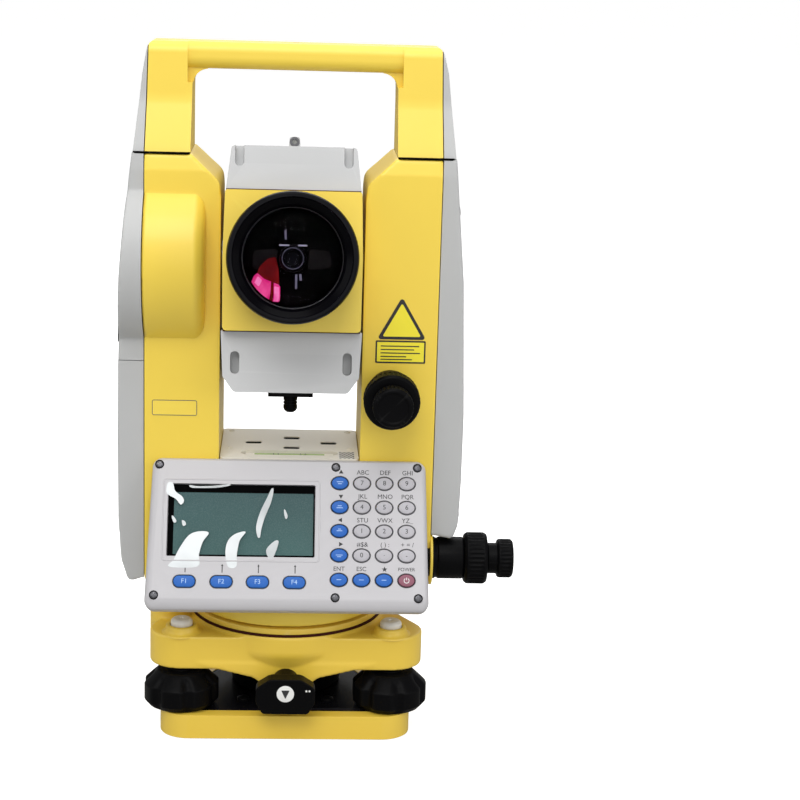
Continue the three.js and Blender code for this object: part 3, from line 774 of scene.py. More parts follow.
def circular_level():
    at = (*LEVEL, 0)
    finish(lathe(ring(7.5, 8.55, 50.3, 57.4), 48, at=at, soft=0.3), "circular_level_bezel",
           "steel", "tribrach")
    finish(lathe(disc(7.45, 50.25, 50.8), 48, at=at), "circular_level_floor", "ivory", "tribrach")
    vial = [(0, 50.9), (7.4, 50.9), (7.4, 56.8), (6, 57.8), (3, 58.4), (0, 58.6)]
    finish(lathe(vial, 48, at=at), "circular_level_vial", "fluid", "tribrach",
           replaces="circular_level", slot="glass")
    finish(lathe(ring(2.9, 3.3, 58.2, 58.5), 40, at=at, soft=0.05), "circular_level_ring",
           "ink", "tribrach")
    bubble = [(0, 55.2), (1.6, 55.6), (2.3, 56.4), (1.6, 57.1), (0, 57.4)]
    finish(lathe(bubble, 32, at=at), "circular_level_bubble", "clear", "tribrach")


def lock_knob():
    """Hub and winged grip, with a pointer disc on its front."""
    hub = [(0, 35.2), (4.5, 35.2), (4.5, 49), (7, 49), (7, 60.5), (0, 60.5)]
    wings = rounded([
        (-15.0, 23.6, 3), (-11.5, 17.6, 2.4), (11.5, 17.6, 2.4), (15.0, 23.6, 3),
        (15.1, 31.5, 4), (8, 36.2, 6), (-8, 36.2, 6), (-15.1, 31.5, 4)], 8)
    grip = lathe(hub, 64, "-Y", (0, 0, LOCK_Z), soft=0.4)
    add(grip, prism(wings, -67, -58.5, "Y"))
    fuse(grip, 0.35, 4)
    finish(grip, "lock_knob_grip", "black", "lock_knob", replaces="tribrach_lock_knob",
           slot="dark", smooth=60)
    pointer = rounded([(2.1, 2.0, 0.2), (0, -2.6, 0.2), (-2.1, 2.0, 0.2)], 3)
    dot = [(0, 0), (0.55, 0), (0.5, 0.2), (0, 0.25)]
    for shape, name, material in (
            (lathe(disc(4.4, 0, 0.25), 48, soft=0.1), "lock_pointer_disc", "white"),
            (prism(pointer, 0.2, 0.36), "lock_pointer_mark", "ink"),
            (merge(*[lathe(dot, 16, at=(x, 1.6, 0)) for x in (10.6, 12.2)]),
             "lock_index_dots", "white")):
        finish(shape, name, material, "lock_knob", POINTER_FACE)


def flange_and_spindle():
    bore = 6.2
    flange = [(bore, 38.3), (17.3, 38.3), (17.3, 53.3), (50, 53.3), (50, 57), (16, 57),
              (16, 59), (bore, 59), (bore, 38.3)]
    finish(lathe(flange, 128, soft=0.6), "flange_turned", "yellow_cast", "tribrach",
           replaces="centring_flange", slot="alu")
    finish(lathe(ring(49.2, 50.9, 52.7, 54.1), 160, soft=0.4), "flange_seal", "seal", "tribrach")
    spindle = [(bore, 59.3), (13, 59.3), (13, 62), (9.4, 64), (9.4, 106), (8.6, 107),
               (bore, 107), (bore, 59.3)]
    finish(lathe(spindle, 64, soft=0.4), "spindle_ground", "steel", "tribrach",
           replaces="vertical_axis_spindle", slot="steel")


# ================================================================== standards
def standards():
    """The yoke: two standards on one foot, with a round drum at the left."""
    front = rounded([
        (-STANDARD_OUT, 75, 3), (-66, 72, 3), (66, 72, 3), (STANDARD_OUT, 75, 3),
        (STANDARD_OUT, STANDARD_TOP), (51, STANDARD_TOP), (STANDARD_IN + 0.5, 282.5, 7),
        (STANDARD_IN, 276), (STANDARD_IN, DECK_Z), (-STANDARD_IN, DECK_Z),
        (-STANDARD_IN, 276), (-STANDARD_IN - 0.5, 282.5, 7), (-51, STANDARD_TOP),
        (-STANDARD_OUT, STANDARD_TOP)], 6)
    side = rounded([
        (FRONT, 71), (REAR, 71), (REAR, 190, 40), (24, STANDARD_TOP),
        (FRONT + 2, STANDARD_TOP, 2), (FRONT, 288)], 10)
    drum_at = (-STANDARD_OUT, 0, TRUNNION_Z)
    yoke = common(prism(front, FRONT, REAR, "Y"), prism(side, -100, 100, "X"))
    add(yoke, lathe([(0, 58), (49.4, 58), (49.4, 65), (47, 75), (0, 75)], 128))
    add(yoke, lathe(disc(DRUM_RADIUS - 0.8, 0, 26.4), 128, "X", drum_at))
    fuse(yoke, 0.9, 4)
    drum = [(0, 0.4), (DRUM_RADIUS, 0.4), (DRUM_RADIUS, 26.2), (DRUM_RADIUS - 2.6, 29.2),
            (DRUM_RADIUS - 6, 30.4), (0, 30.8)]
    add(yoke, lathe(soften(drum, 1.6, 5), 160, "X", drum_at))

    # Crisp parting faces are cut after the melt.
    skim = 0.15
    cut(yoke, block(-90, 90, -60, 60, STANDARD_TOP - skim, 330),
        block(-95, -STANDARD_OUT + skim, -60, 60, 50, 330),
        block(STANDARD_OUT - skim, 95, -60, 60, 50, 330))

    def well(top_y, top_z):
        return rounded([(FRONT + 4, 84, 4), (REAR - 5, 84, 4), (REAR - 5, 186, 12),
                        (top_y, top_z, 4), (FRONT + 4, top_z, 4)], 4)

    for outline, inner, outer in ((well(21, 290), STANDARD_IN + 17, 90),
                                  (well(23.2, 274), STANDARD_IN + 5, STANDARD_IN + 18)):
        cut(yoke, prism(outline, -outer, -inner, "X"), prism(outline, inner, outer, "X"))
    cut(yoke, block(-60, 60, FRONT - 2, REAR - 5, 84, 131))
    cut(yoke, prism(circle(9.5, 48, 0, TRUNNION_Z), -60, 60, "X"),
        prism(circle(10, 48), 50, 90), prism(circle(16.4, 48), 50, 64.6))
    cut(yoke, block(-26, 26, -21, -11, 133, 140))
    finish(yoke, "standards_casting", "yellow", replaces="alidade_frame", slot="alu", smooth=40)


def sleeves_and_gaskets():
    bore = 4.2
    sleeve = [(bore, 0), (11, 0), (11, 6), (10.4, 6.6), (10.4, 7.4), (11, 8), (11, 20.6),
              (10.2, 21.4), (bore, 21.4), (bore, 0)]
    finish(lathe(sleeve, 72, "X", (70.5, *H_KNOBS), soft=0.5), "hz_sleeve", "black")
    finish(lathe(ring(11.2, 14.2, 0, 1.4), 72, "X", (73.8, *H_KNOBS), soft=0.5), "hz_collar",
           "yellow")
    finish(lathe(ring(bore, 11.4, 0, 15.4), 72, "-Y", (V_KNOBS[0], FRONT + 2, V_KNOBS[1]),
                 soft=0.6), "v_sleeve", "black")
    # Slim lines where the handle stands on the standards.
    for side, x0, x1 in (("left", -79.7, -51.6), ("right", 51.6, 79.7)):
        finish(prism(rect(x0, x1, -26.4, 23, 1.5, 4), STANDARD_TOP - 0.35, STANDARD_TOP + 0.5),
               f"handle_gasket_{side}", "matt")


# ================================================================== side covers
ROOT_X = STANDARD_OUT - 6           # the blanks reach this far in before they are trimmed
FLANK = rounded([
    (FLANK_FRONT, 60), (FLANK_REAR, 60), (FLANK_REAR, 190, 40), (22.6, 310),
    (FRONT + 3, 310), (FLANK_FRONT, 288)], 10)
# x, z down the outside of the left cover
LEFT_SLOPE = [(-87.1, 194), (-86.1, 221), (-85.3, 236), (-84.2, 252), (-83, 270),
              (-81.8, 283), (-80.1, 297)]


def cover_blank(outline):
    """Front outline trimmed to the side view of the flank."""
    return common(prism(outline, FLANK_FRONT, FLANK_REAR, "Y"), prism(FLANK, -120, 120, "X"))


def left_cover():
    outline = [(-ROOT_X, 188), (-87.2, 188), *LEFT_SLOPE, (-79.9, 299), (-ROOT_X, 299)]
    drum = lathe(disc(DRUM_RADIUS, -6, 16), 160, "X")
    place(drum, Matrix.Translation((-STANDARD_OUT, 0, TRUNNION_Z))
          @ Matrix.Scale(-1, 4, (1, 0, 0)))
    drum.data.flip_normals()
    limit = [(-ROOT_X, 180), (-87.5, 180), *LEFT_SLOPE, (-ROOT_X, 297)]
    drum = common(drum, prism(limit, -60, 60, "Y"))
    cover = add(cover_blank(outline), drum)
    fuse(cover, 0.8, 8)
    cut(cover, block(-STANDARD_OUT - 0.3, -40, -80, 80, 100, 330),
        block(-120, -40, -80, 80, STANDARD_TOP - 0.2, 330),
        block(-120, -40, -80, 80, 100, 191.6))
    hollow = [(FRONT + 5, 195, 4), (REAR - 8, 195, 4), (18, 280, 4), (FRONT + 5, 280, 4)]
    cut(cover, prism(rounded(hollow, 4), -79, -70, "X"))
    cut(cover, prism(rect(-9.6, 9.6, 193.4, 206.8, 2.4, 5), -95, -80, "X"))
    finish(cover, "side_cover_left_shell", "grey", replaces="side_cover_left", slot="light",
           smooth=40)

    latch = prism(rect(-9, 9, 196.8, 206.2, 1.8), -88.8, -83.0, "X")
    for k in range(5):
        cut(latch, block(-91, -88.4, -7.4, 7.4, 198.6 + k * 1.5, 199.2 + k * 1.5))
    finish(latch, "battery_latch_button", "black", "battery_latch", replaces="battery_latch",
           slot="dark", bevel=0.5)


def battery():
    outline = rounded([
        (-ROOT_X, 76.8), (-STANDARD_OUT - 1, 76.2), (-82.2, 73.7, 3), (-86.0, 86, 8),
        (-87.4, 108, 16), (-87.6, 150), (-87.2, 196), (-ROOT_X, 196)], 8)
    case = cover_blank(outline)
    fuse(case, 0.75, 8)
    cut(case, block(-STANDARD_OUT - 0.3, -40, -80, 80, 50, 330),
        block(-120, -40, -80, 80, 191.2, 330))
    cut(case, *[block(-95, -86.9, -20, 32, 98 + k * 5.0, 99.4 + k * 5.0) for k in range(6)])
    finish(case, "battery_case", "grey", "battery", replaces="battery_pack", slot="light",
           smooth=40)
    finish(prism(rect(FRONT + 6, REAR - 8, 92, 176, 3, 5), -74.2, -60, "X"), "battery_core",
           "black", "battery", bevel=1.0)
    contacts = [block(-62, -59.6, -8 + 8 * k, -4 + 8 * k, 100, 108) for k in range(3)]
    finish(merge(*contacts), "battery_contacts", "brass", "battery", bevel=0.3)


def right_cover():
    outline = rounded([
        (ROOT_X, 101), (STANDARD_OUT + 1, 101), (85.4, 98.9, 2.5), (88.1, 107, 6),
        (88.9, 130, 10), (89, 165), (86.5, 234), (80.7, 299), (ROOT_X, 299)], 8)
    cover = cover_blank(outline)
    fuse(cover, 0.85, 8)
    cut(cover, block(40, STANDARD_OUT + 0.3, -80, 80, 50, 330),
        block(40, 120, -80, 80, STANDARD_TOP - 0.2, 330))
    hollow = [(FRONT + 5, 106), (REAR - 6, 106), (REAR - 6, 190), (18, 285), (FRONT + 5, 285)]
    cut(cover, prism(hollow, 70, 80, "X"))
    # A shallow field on the flank.
    cut(cover, prism(rect(-14, 26, 130, 176, 4), 88.3, 95, "X"))
    finish(cover, "side_cover_right_shell", "grey", replaces="side_cover_right", slot="light",
           smooth=40)


def cover_screws():
    # name, x, y, z, turn from upright in degrees
    for name, x, y, z, turn in (
            ("r0", 87.6, -22, 112, 90), ("r1", 87.6, 33, 112, 90),
            ("l2", -82.4, -22, 270, -85), ("r2", 82.7, -22, 270, 85),
            ("l3", -82.4, 18, 270, -85), ("r3", 82.7, 18, 270, 85)):
        finish(screw(2.3, 0.9), f"cover_screw_{name}", "blued", matrix=pose((x, y, z), turn, "Y"))


# ================================================================== handle
def handle_blank(mask):
    """The whole handle, from its front and side outlines, kept inside a front mask."""
    front = rounded([
        (-79.9, 296.3), (-51.5, 296.3), (-51, 336.5, 8), (51, 336.5, 8), (51.5, 296.3),
        (80.7, 296.3), (76.2, 337, 10), (73, 350, 4.5), (-73, 350, 4.5), (-75.8, 334, 10)], 8)
    side = rounded([
        (-25.4, 290), (22.4, 290), (15, 322, 24), (13.5, 350, 6), (-13.5, 350, 6),
        (-15, 322, 24)], 8)
    blank = common(prism(front, -30, 30, "Y"), prism(side, -100, 100, "X"))
    return common(blank, prism(mask, -40, 40, "Y"))


def handle():
    bar = handle_blank([(-74.0, 280), (74.0, 280), (74.0, 296), (72.6, 352), (-72.6, 352),
                        (-74.0, 296)])
    cut(bar, block(-53.5, 53.5, -30, 30, 341, 360), block(-43.8, 43.8, -30, 30, 330, 345),
        block(-53.5, 53.5, -30, -8.2, 330, 360), block(-53.5, 53.5, 8.2, 30, 330, 360))
    grip = rounded([(-12.3, 336.6, 6), (12.3, 336.6, 6), (12.3, 350, 5), (-12.3, 350, 5)], 12)
    add(bar, prism(grip, -55, 55, "X"))
    finish(bar, "handle_bar", "yellow", replaces="handle", slot="yellow", bevel=1.3,
           segments=4, bevel_angle=30)
    cap_mask = [(74.5, 280), (74.5, 296), (73.1, 352), (95, 352), (95, 280)]
    for side, sign in (("left", -1), ("right", 1)):
        mask = [(sign * x, z) for x, z in cap_mask][::-sign]
        finish(handle_blank(mask), f"handle_cap_{side}", "grey", bevel=1.6, segments=4,
               bevel_angle=28)
    mark = [(0, 349.7), (1.3, 349.7), (1.3, 350.05), (0.5, 349.9), (0, 349.9)]
    finish(lathe(mark, 32, soft=0.1), "handle_centre_mark", "ink")
    for side, x, turn in (("l", -78.2, -84), ("r", 79.0, 84)):
        for k, y in enumerate((-11.5, 9.5)):
            finish(screw(2.6, 0.8), f"handle_screw_{side}{k}", "blued",
                   matrix=pose((x, y, 306), turn, "Y"))


# ================================================================== deck and plate level
def deck():
    top = 141.5
    slots = ((-19, 4.5), (20.5, 4.5), (1, 14.5), (1, -5.5))
    plate = prism(rect(-35.6, 35.6, -27.4, 33, 2.4), 138.3, top)
    cut(plate, prism(rect(-25, 25, -20.4, -11.6, 4.3, 8), 130, 150))
    for x, y in slots:
        cut(plate, prism(centred(x, y, 4.2, 2.7, 1.5, 5), 130, 150))
    finish(plate, "deck_plate", "cream", replaces="deck_cover", slot="cream", bevel=0.6)
    for k, (x, y) in enumerate(slots):
        finish(prism(centred(x, y, 4.15, 2.65, 1.45, 5), 138.35, 141.0),
               f"deck_slot_shadow_{k}", "matt")

    at = (0, -16, 137.4)
    half = [(3.5, 20.4), (3.0, 21.5), (1.8, 22.2), (0, 22.4)]
    vial = [(radius, -height) for radius, height in half[::-1]] + half
    finish(lathe(vial, 48, "X", at), "plate_vial", "fluid", replaces="plate_level", slot="glass")
    marks = [lathe(ring(3.5, 3.62, h - 0.2, h + 0.2), 48, "X", at, soft=0.04)
             for h in (-8.2, -5.8, 5.8, 8.2)]
    finish(merge(*marks), "plate_vial_marks", "ink")
    # radius, height of the cap on the right end
    cap = [(0, 22.5), (3.62, 22.5), (3.62, 18.1), (3.1, 17.9), (3.1, 22.1), (0, 22.1)]
    caps = [lathe([(radius, sign * height) for radius, height in cap], 48, "X", at, soft=0.1)
            for sign in (-1, 1)]
    finish(merge(*caps), "plate_vial_caps", "cream")
    bubble = [(0, -5.2), (1.0, -4.9), (1.5, -4.0), (1.5, 4.0), (1.0, 4.9), (0, 5.2)]
    finish(lathe(bubble, 32, "X", (0, -16, 139.2)), "plate_bubble", "clear")

    finish(prism(rect(25.4, 33.6, -26.6, -13.4, 0.5, 4), 141.45, 141.6), "deck_sticker", "white")
    checks = [block(25.75 + 1.1 * i, 26.75 + 1.1 * i, -26.2 + 1.8 * j, -24.6 + 1.8 * j,
                    141.55, 141.66) for i in range(7) for j in range(7) if (i + j) % 2 == 0]
    finish(merge(*checks), "deck_sticker_checks", "ink")
    for k, (x, y) in enumerate(((-31, -8), (31, -8), (-31, 28), (31, 28))):
        finish(screw(1.7, 0.35), f"deck_screw_{k}", "cream", matrix=Matrix.Translation((x, y, top)))


# ================================================================== keypad unit
def pill(x, half_x, half_y):
    """Outline about a function key."""
    return centred(x, F_KEY_Y, half_x, half_y, half_y * 0.98, 10)


def display_rect(inset, radius=0, steps=4):
    return rect(DISPLAY_LEFT + inset, DISPLAY_RIGHT - inset, DISPLAY_BOTTOM + inset,
                DISPLAY_TOP - inset, radius, steps)


def panel_prism(points, low, high):
    return place(prism(points, low, high), PANEL)


def case_blank():
    # inset of the left, right, top and bottom edges, corner radius, height
    rows = (
        (1.4, 1.4, 1.4, 1.4, 3.8, -12.0),
        (0.4, 0.4, 0.4, 0.4, 4.6, -11.3),
        (0.0, 0.0, 0.0, 0.0, 5.0, -10.0),
        (0.0, 0.0, 0.0, 0.0, 5.0, -3.6),
        (0.25, 0.2, 0.15, 0.5, 4.9, -2.6),
        (0.9, 0.6, 0.5, 1.7, 4.7, -1.5),
        (2.0, 1.3, 1.0, 3.4, 4.4, -0.65),
        (3.2, 2.0, 1.5, 5.0, 4.1, -0.15),
        (4.0, 2.5, 1.9, 5.9, 3.9, 0.0),
    )
    layers = []
    for left, right, top, bottom, radius, height in rows:
        y = -PANEL_LENGTH + bottom
        layers.append((rounded([(-69.2 + left, -top, radius), (-71.6 + left, y, radius),
                                (71.6 - right, y, radius), (69.8 - right, -top, radius)], 10),
                       height))
    case = stack(*layers)
    # The broad face is divided between the openings, so that each lies in a face of its own.
    bm = bmesh.new()
    bm.from_mesh(case.data)
    splits = [((x, 0, 0), (1, 0, 0)) for x in (-42.3, -24.0, -5.7, 17.0, 31.55, 42.9, 54.3)]
    splits += [((0, y, 0), (0, 1, 0)) for y in (-7.7, -18.6, -30.95, -43.3, -55.75, -67.6)]
    for point, normal in splits:
        bmesh.ops.bisect_plane(bm, geom=bm.verts[:] + bm.edges[:] + bm.faces[:],
                               plane_co=point, plane_no=normal)
    bm.to_mesh(case.data)
    bm.free()
    return place(case, PANEL)


def keypad_case():
    back = -28.3                    # y where the case meets the standards
    case = case_blank()
    skirt = rounded([(-54, 76, 2), (-57, 86), (-38, 128), (-33, 138.5), (back, 139),
                     (back, 76)], 4)
    add(case, prism(skirt, -64, 64, "X"))
    common(case, block(-90, 90, -120, back, 60, 160))
    cut(case, block(-60, 60, -34, -20, 84, 131))
    cut(case, panel_prism(rect(-64, 64, -70, -8), -9.5, -4))
    cut(case, panel_prism(display_rect(0, 0.8), -2.6, 1))
    cut(case, panel_prism(display_rect(4), -6, 1))

    holes = [panel_prism(pill(x, 5.75, 3.25), -6, 1) for x in F_KEY_X]
    holes += [panel_prism(circle(4.5, 48, x, y, 3.55), -6, 1) for x in KEY_X for y in KEY_Y]
    bm = bmesh.new()
    bm.from_mesh(case.data)
    bmesh.ops.triangulate(bm, faces=bm.faces[:], quad_method="BEAUTY", ngon_method="BEAUTY")
    bm.to_mesh(case.data)
    bm.free()
    combine(case, "DIFFERENCE", merge(*holes), solvers=("EXACT",))
    for x, y in PANEL_SCREWS:
        hole = panel_prism(circle(2.3, 32, x, y), -1.7, 1)
        combine(case, "DIFFERENCE", hole, solvers=("EXACT",))
    finish(case, "keypad_case", "panel", replaces="keypad_housing", slot="light", bevel=0.28,
           segments=2, bevel_angle=40, smooth=30)


def display():
    on_panel(strip(display_rect(-2.2, 1.6, 6), 0.35, -0.2, 0.22, closed=True),
             "display_frame_line", "panel", bevel=0.2, segments=2, smooth=40)
    on_panel(prism(display_rect(0.3, 0.6), -2.3, -1.5), "display_mask", "matt")
    cell = rect(DISPLAY_LEFT + 3.2, DISPLAY_RIGHT - 1.0, DISPLAY_BOTTOM + 1.1,
                DISPLAY_TOP - 4.4, 0.4, 4)
    on_panel(prism(cell, -1.6, -1.35), "display_cell", "lcd", replaces="lcd_panel", slot="glass")
    seam = rect(-33.0, -32.4, DISPLAY_BOTTOM + 1.6, DISPLAY_TOP - 4.8)
    on_panel(prism(seam, -1.38, -1.33), "display_seam_line", "lcd")


# Glints of the wrinkled clear film over the display: outlines of x, y on the panel.
STRONG_GLINTS = [
    [(-59.741, -56.645), (-57.474, -52.726), (-54.451, -46.463), (-49.917, -39.922),
     (-44.627, -37.782), (-39.589, -38.498), (-42.612, -43.464), (-44.375, -49.970),
     (-45.131, -56.465)],
    [(-30.018, -56.278), (-31.529, -48.774), (-30.270, -42.533), (-26.365, -38.853),
     (-21.202, -37.752), (-24.224, -42.588), (-25.484, -49.737), (-25.736, -56.225)],
    [(-61.504, -13.347), (-58.733, -13.313), (-57.474, -17.447), (-53.695, -20.514),
     (-52.688, -23.095), (-54.451, -24.803), (-56.970, -21.851), (-61.756, -18.797)],
]
THIN_GLINTS = [
    [(-15.660, -41.055), (-16.416, -35.617), (-14.401, -27.810), (-10.874, -19.984),
     (-8.607, -15.028), (-7.474, -15.792), (-8.607, -22.291), (-11.630, -30.111),
     (-13.519, -36.619), (-14.275, -41.557)],
    [(-9.615, -51.616), (-11.126, -47.225), (-7.096, -42.636), (-4.577, -42.345),
     (-5.584, -47.156), (-7.600, -51.591)],
    [(-50.924, -14.513), (-45.887, -14.970), (-37.071, -14.601), (-29.766, -13.603),
     (-29.514, -14.508), (-36.819, -15.766), (-46.390, -16.013), (-49.917, -15.798)],
    [(-2.310, -26.364), (-1.428, -26.872), (-0.295, -29.970), (-1.176, -31.538),
     (-2.058, -29.473)],
    [(-58.733, -30.174), (-57.474, -30.936), (-56.214, -33.256), (-57.474, -34.049),
     (-58.481, -32.246)],
    [(-53.695, -32.706), (-52.184, -32.946), (-51.428, -34.753), (-52.940, -35.550)],
]


def glint(points, scale):
    """Outline scaled about its mean point, smoothed with a closed Catmull-Rom curve."""
    count = len(points)
    middle = sum((Vector(p) for p in points), Vector((0, 0))) / count
    points = [middle + (Vector(p) - middle) * scale for p in points]
    outline = []
    for i in range(count):
        before, start, end, after = (points[(i + k - 1) % count] for k in range(4))
        for step in range(5):
            w = step / 5
            outline.append(tuple(0.5 * (
                2 * start + (end - before) * w
                + (2 * before - 5 * start + 4 * end - after) * w * w
                + (3 * start - before - 3 * end + after) * w ** 3)))
    return prism(outline, 0.06, 0.08)


def film_glints():
    on_panel(merge(*[glint(g, 0.96) for g in STRONG_GLINTS]), "display_film_glints", "film")
    on_panel(merge(*[glint(g, 0.94) for g in THIN_GLINTS]), "display_film_glints_thin",
             "film_thin")


def panel_screws():
    cup = [(1.75, -1.65), (2.28, -1.65), (2.28, 0.08), (2.0, 0.12), (1.85, 0.06), (1.75, -1.65)]
    head_profile = [(0, -1.65), (1.8, -1.65), (1.8, 0.1), (1.3, 0.32), (0, 0.4)]
    for k, (x, y) in enumerate(PANEL_SCREWS):
        on_panel(lathe(cup, 40, at=(x, y, 0), soft=0.05), f"panel_screw_cup_{k}", "black")
        head = lathe(head_profile, 32, at=(x, y, 0), soft=0.12)
        for turn in (0, 90):
            cross = prism(centred(0, 0, 1.15, 0.22), 0.06, 1)
            cut(head, place(cross, pose((x, y, 0), 25 + 37 * k + turn, "Z")))
        on_panel(head, f"panel_screw_head_{k}", "blued")


def function_keys():
    # half width, half height, height above the panel
    dome = ((5.4, 2.9, -3.2), (5.4, 2.9, 0.3), (5.25, 2.75, 0.62), (4.9, 2.4, 0.85),
            (4.3, 1.8, 0.97), (3.2, 0.9, 1.02))
    for i, x in enumerate(F_KEY_X):
        key = f"key_f{i + 1}"
        cap = stack(*[(pill(x, half_x, half_y), height) for half_x, half_y, height in dome])
        on_panel(cap, f"{key}_cap", "blue", key, replaces=key, slot="blue", smooth=50)
        on_panel(move(text(f"F{i + 1}", 3.3, 0.05), x, F_KEY_Y, 1.02), f"{key}_print",
                 "pale_blue", key)
        on_panel(strip(pill(x, 5.85, 3.35), 0.14, -0.05, 0.07, closed=True), f"{key}_ring",
                 "grey_ink")


KEY_ROWS = (("up", "7", "8", "9"), ("down", "4", "5", "6"), ("left", "1", "2", "3"),
            ("right", "0", "point", "minus"), ("enter", "escape", "star", "power"))
CHARACTERS = {"point": ".", "minus": "-", **{str(n): str(n) for n in range(10)}}
# For the blue keys of each row: (half width, offset in y) of the printed bars, bar height.
KEY_BARS = (
    (((1.6, 0.35), (1.0, -0.65)), 0.34),
    (((1.0, 0.35), (1.6, -0.65)), 0.34),
    (((1.4, -0.15), (0.7, 0.7)), 0.34),
    (((1.7, -0.15), (1.0, -1.0)), 0.34),
    (((1.2, -0.15),), 0.3),
)


def key_cap(x, y):
    length, width = 4.1, 3.15       # half sizes
    profile = [(0, -3.2), (length, -3.2), (length, 0.35), (3.75, 0.8), (2.4, 1.0), (0, 1.04)]
    cap = lathe(soften(profile, 0.3, 4), 64)
    flatten = Matrix.Diagonal((1, width / length, 1, 1))
    return place(cap, Matrix.Translation((x, y, 0)) @ flatten)


def key_print(label, row, x, y):
    """The mark on a key and its material."""
    if label in CHARACTERS:
        raised = 0.9 if label == "point" else 0
        return move(text(CHARACTERS[label], 3.4, 0.05), x, y - raised * -1, 1.03), "ink"
    if label == "power":
        arc = [(x + 1.25 * math.cos(math.radians(a)), y - 0.1 + 1.25 * math.sin(math.radians(a)))
               for a in range(125, 416, 10)]
        stroke = rect(x - 0.16, x + 0.16, y + 0.2, y + 1.5)
        return merge(strip(arc, 0.16, 0.98, 1.08), prism(stroke, 0.98, 1.08)), "white"
    bars, height = KEY_BARS[row]
    return merge(*[prism(rect(x - half, x + half, y + rise, y + rise + height), 0.98, 1.07)
                   for half, rise in bars]), "pale_blue"


def keys():
    for row, labels in enumerate(KEY_ROWS):
        for column, label in enumerate(labels):
            x, y, key = KEY_X[column], KEY_Y[row], f"key_{label}"
            if label == "power":
                material, slot = "key_red", "red"
            elif column == 0 or row == 4:
                material, slot = "blue", "blue"
            else:
                material, slot = "key_grey", "keygrey"
            on_panel(key_cap(x, y), f"{key}_cap", material, key, replaces=key, slot=slot,
                     smooth=50)
            mark, ink = key_print(label, row, x, y)
            on_panel(mark, f"{key}_print", ink, key)
            on_panel(strip(circle(4.62, 48, x, y, 3.67), 0.15, -0.05, 0.07, closed=True),
                     f"{key}_ring", "grey_ink")


def legends():
    """Print above the keys: arrows, letters, words and a star."""
    rise = 5.6                      # from the middle of a key to its legend
    marks = []

    def mark(outline):
        marks.append(prism(outline, 0.0, 0.06))

    def triangle(x, y, start, radius=1.35):
        mark(circle(radius, 3, x, y, start=start))

    def letters(words, size, x, y):
        marks.append(move(text(words, size, 0.03), x, y, 0.03))

    for y, start in zip(KEY_Y, (math.pi / 2, -math.pi / 2, math.pi, 0)):
        triangle(KEY_X[0] + 0.6, y + 5.7, start)
    for y, row in zip(KEY_Y, (("ABC", "DEF", "GHI"), ("JKL", "MNO", "PQR"),
                              ("STU", "VWX", "YZ_"), ("#$&", "( ) :", "+ = /"))):
        for x, words in zip(KEY_X[1:], row):
            letters(words, 3.3, x + 0.4, y + rise)
    bottom = KEY_Y[4] + rise
    for column, words, size in ((0, "ENT", 3.1), (1, "ESC", 3.1), (3, "POWER", 2.5)):
        letters(words, size, KEY_X[column], bottom)
    star = []
    for i in range(10):
        radius, a = (1.5 if i % 2 == 0 else 0.63), math.pi / 2 + math.pi * i / 5
        star.append((KEY_X[2] + 0.3 + radius * math.cos(a), bottom + radius * math.sin(a)))
    mark(star)
    for x in F_KEY_X:
        mark(rect(x + 0.1, x + 0.55, -59.0, -55.6))
        triangle(x + 0.32, -55.3, math.pi / 2, 0.7)
    on_panel(merge(*marks), "keypad_legends", "ink")


# ================================================================== signs on the front faces
def signs():
    """Warning sign on the right standard and a small plate on the left one."""
    plate = rect(-69.8, -47.4, 163.6, 171.3, 0.8, 4)
    bars = [prism(rect(45.2, 45.2 + length, z, z + 0.55), 0.15, 0.27) for z, length in
            ((201.2, 19.5), (199.4, 17), (197.6, 20), (195.8, 13), (194.3, 16))]
    for shape, name, material in (
            (prism(rounded([(43.2, 204.9, 1.2), (68.2, 204.9, 1.2), (55.4, 226.8, 1.2)], 5),
                   0.0, 0.15), "sign_triangle", "ink"),
            (prism(rounded([(45.9, 206.4, 0.6), (65.5, 206.4, 0.6), (55.5, 223.6, 0.6)], 5),
                   0.1, 0.22), "sign_triangle_field", "sign"),
            (prism(rect(42.6, 68.0, 192.6, 204.3, 0.6, 4), 0.0, 0.15), "sign_box", "ink"),
            (prism(rect(43.4, 67.2, 193.4, 203.5, 0.3, 4), 0.1, 0.22), "sign_box_field",
             "sign"),
            (merge(*bars), "sign_bars", "ink"),
            (prism(plate, 0.0, 0.12), "serial_plate", "yellow"),
            (strip(plate, 0.16, 0.05, 0.16, closed=True), "serial_plate_line", "grey_ink")):
        finish(shape, name, material, matrix=FRONT_FACE)


# ================================================================== ribbed knobs
def knob(name, body, replaces, profile, soft, axis, at, ribs, depth, low, high, min_radius,
         steps=6, matrix=None):
    """Turned knob with ribs between two heights, outside min_radius."""
    soft_profile = soften(profile, soft)
    # Rows added along the long outer walls let the ribs fade in and out.
    dense = []
    for start, end in zip(soft_profile, soft_profile[1:]):
        dense.append(start)
        if abs(start[0] - end[0]) < 0.6 and abs(end[1] - start[1]) > 4:
            for k in range(1, steps):
                w = k / steps
                w = w * w * (3 - 2 * w)
                dense.append((start[0] + (end[0] - start[0]) * w,
                              start[1] + (end[1] - start[1]) * w))
    dense.append(soft_profile[-1])

    def ribbed(radius, height, angle):
        if radius < min_radius:
            return radius
        fade = max(0.0, min(1.0, (height - low) / 1.2, (high - height) / 1.2))
        return radius - depth * fade * (0.5 - 0.5 * math.cos(ribs * angle)) ** 0.7

    finish(lathe(dense, max(96, ribs * 6), axis, at, reshape=ribbed), name, "rubber", body,
           matrix, replaces=replaces, slot="dark", smooth=50)


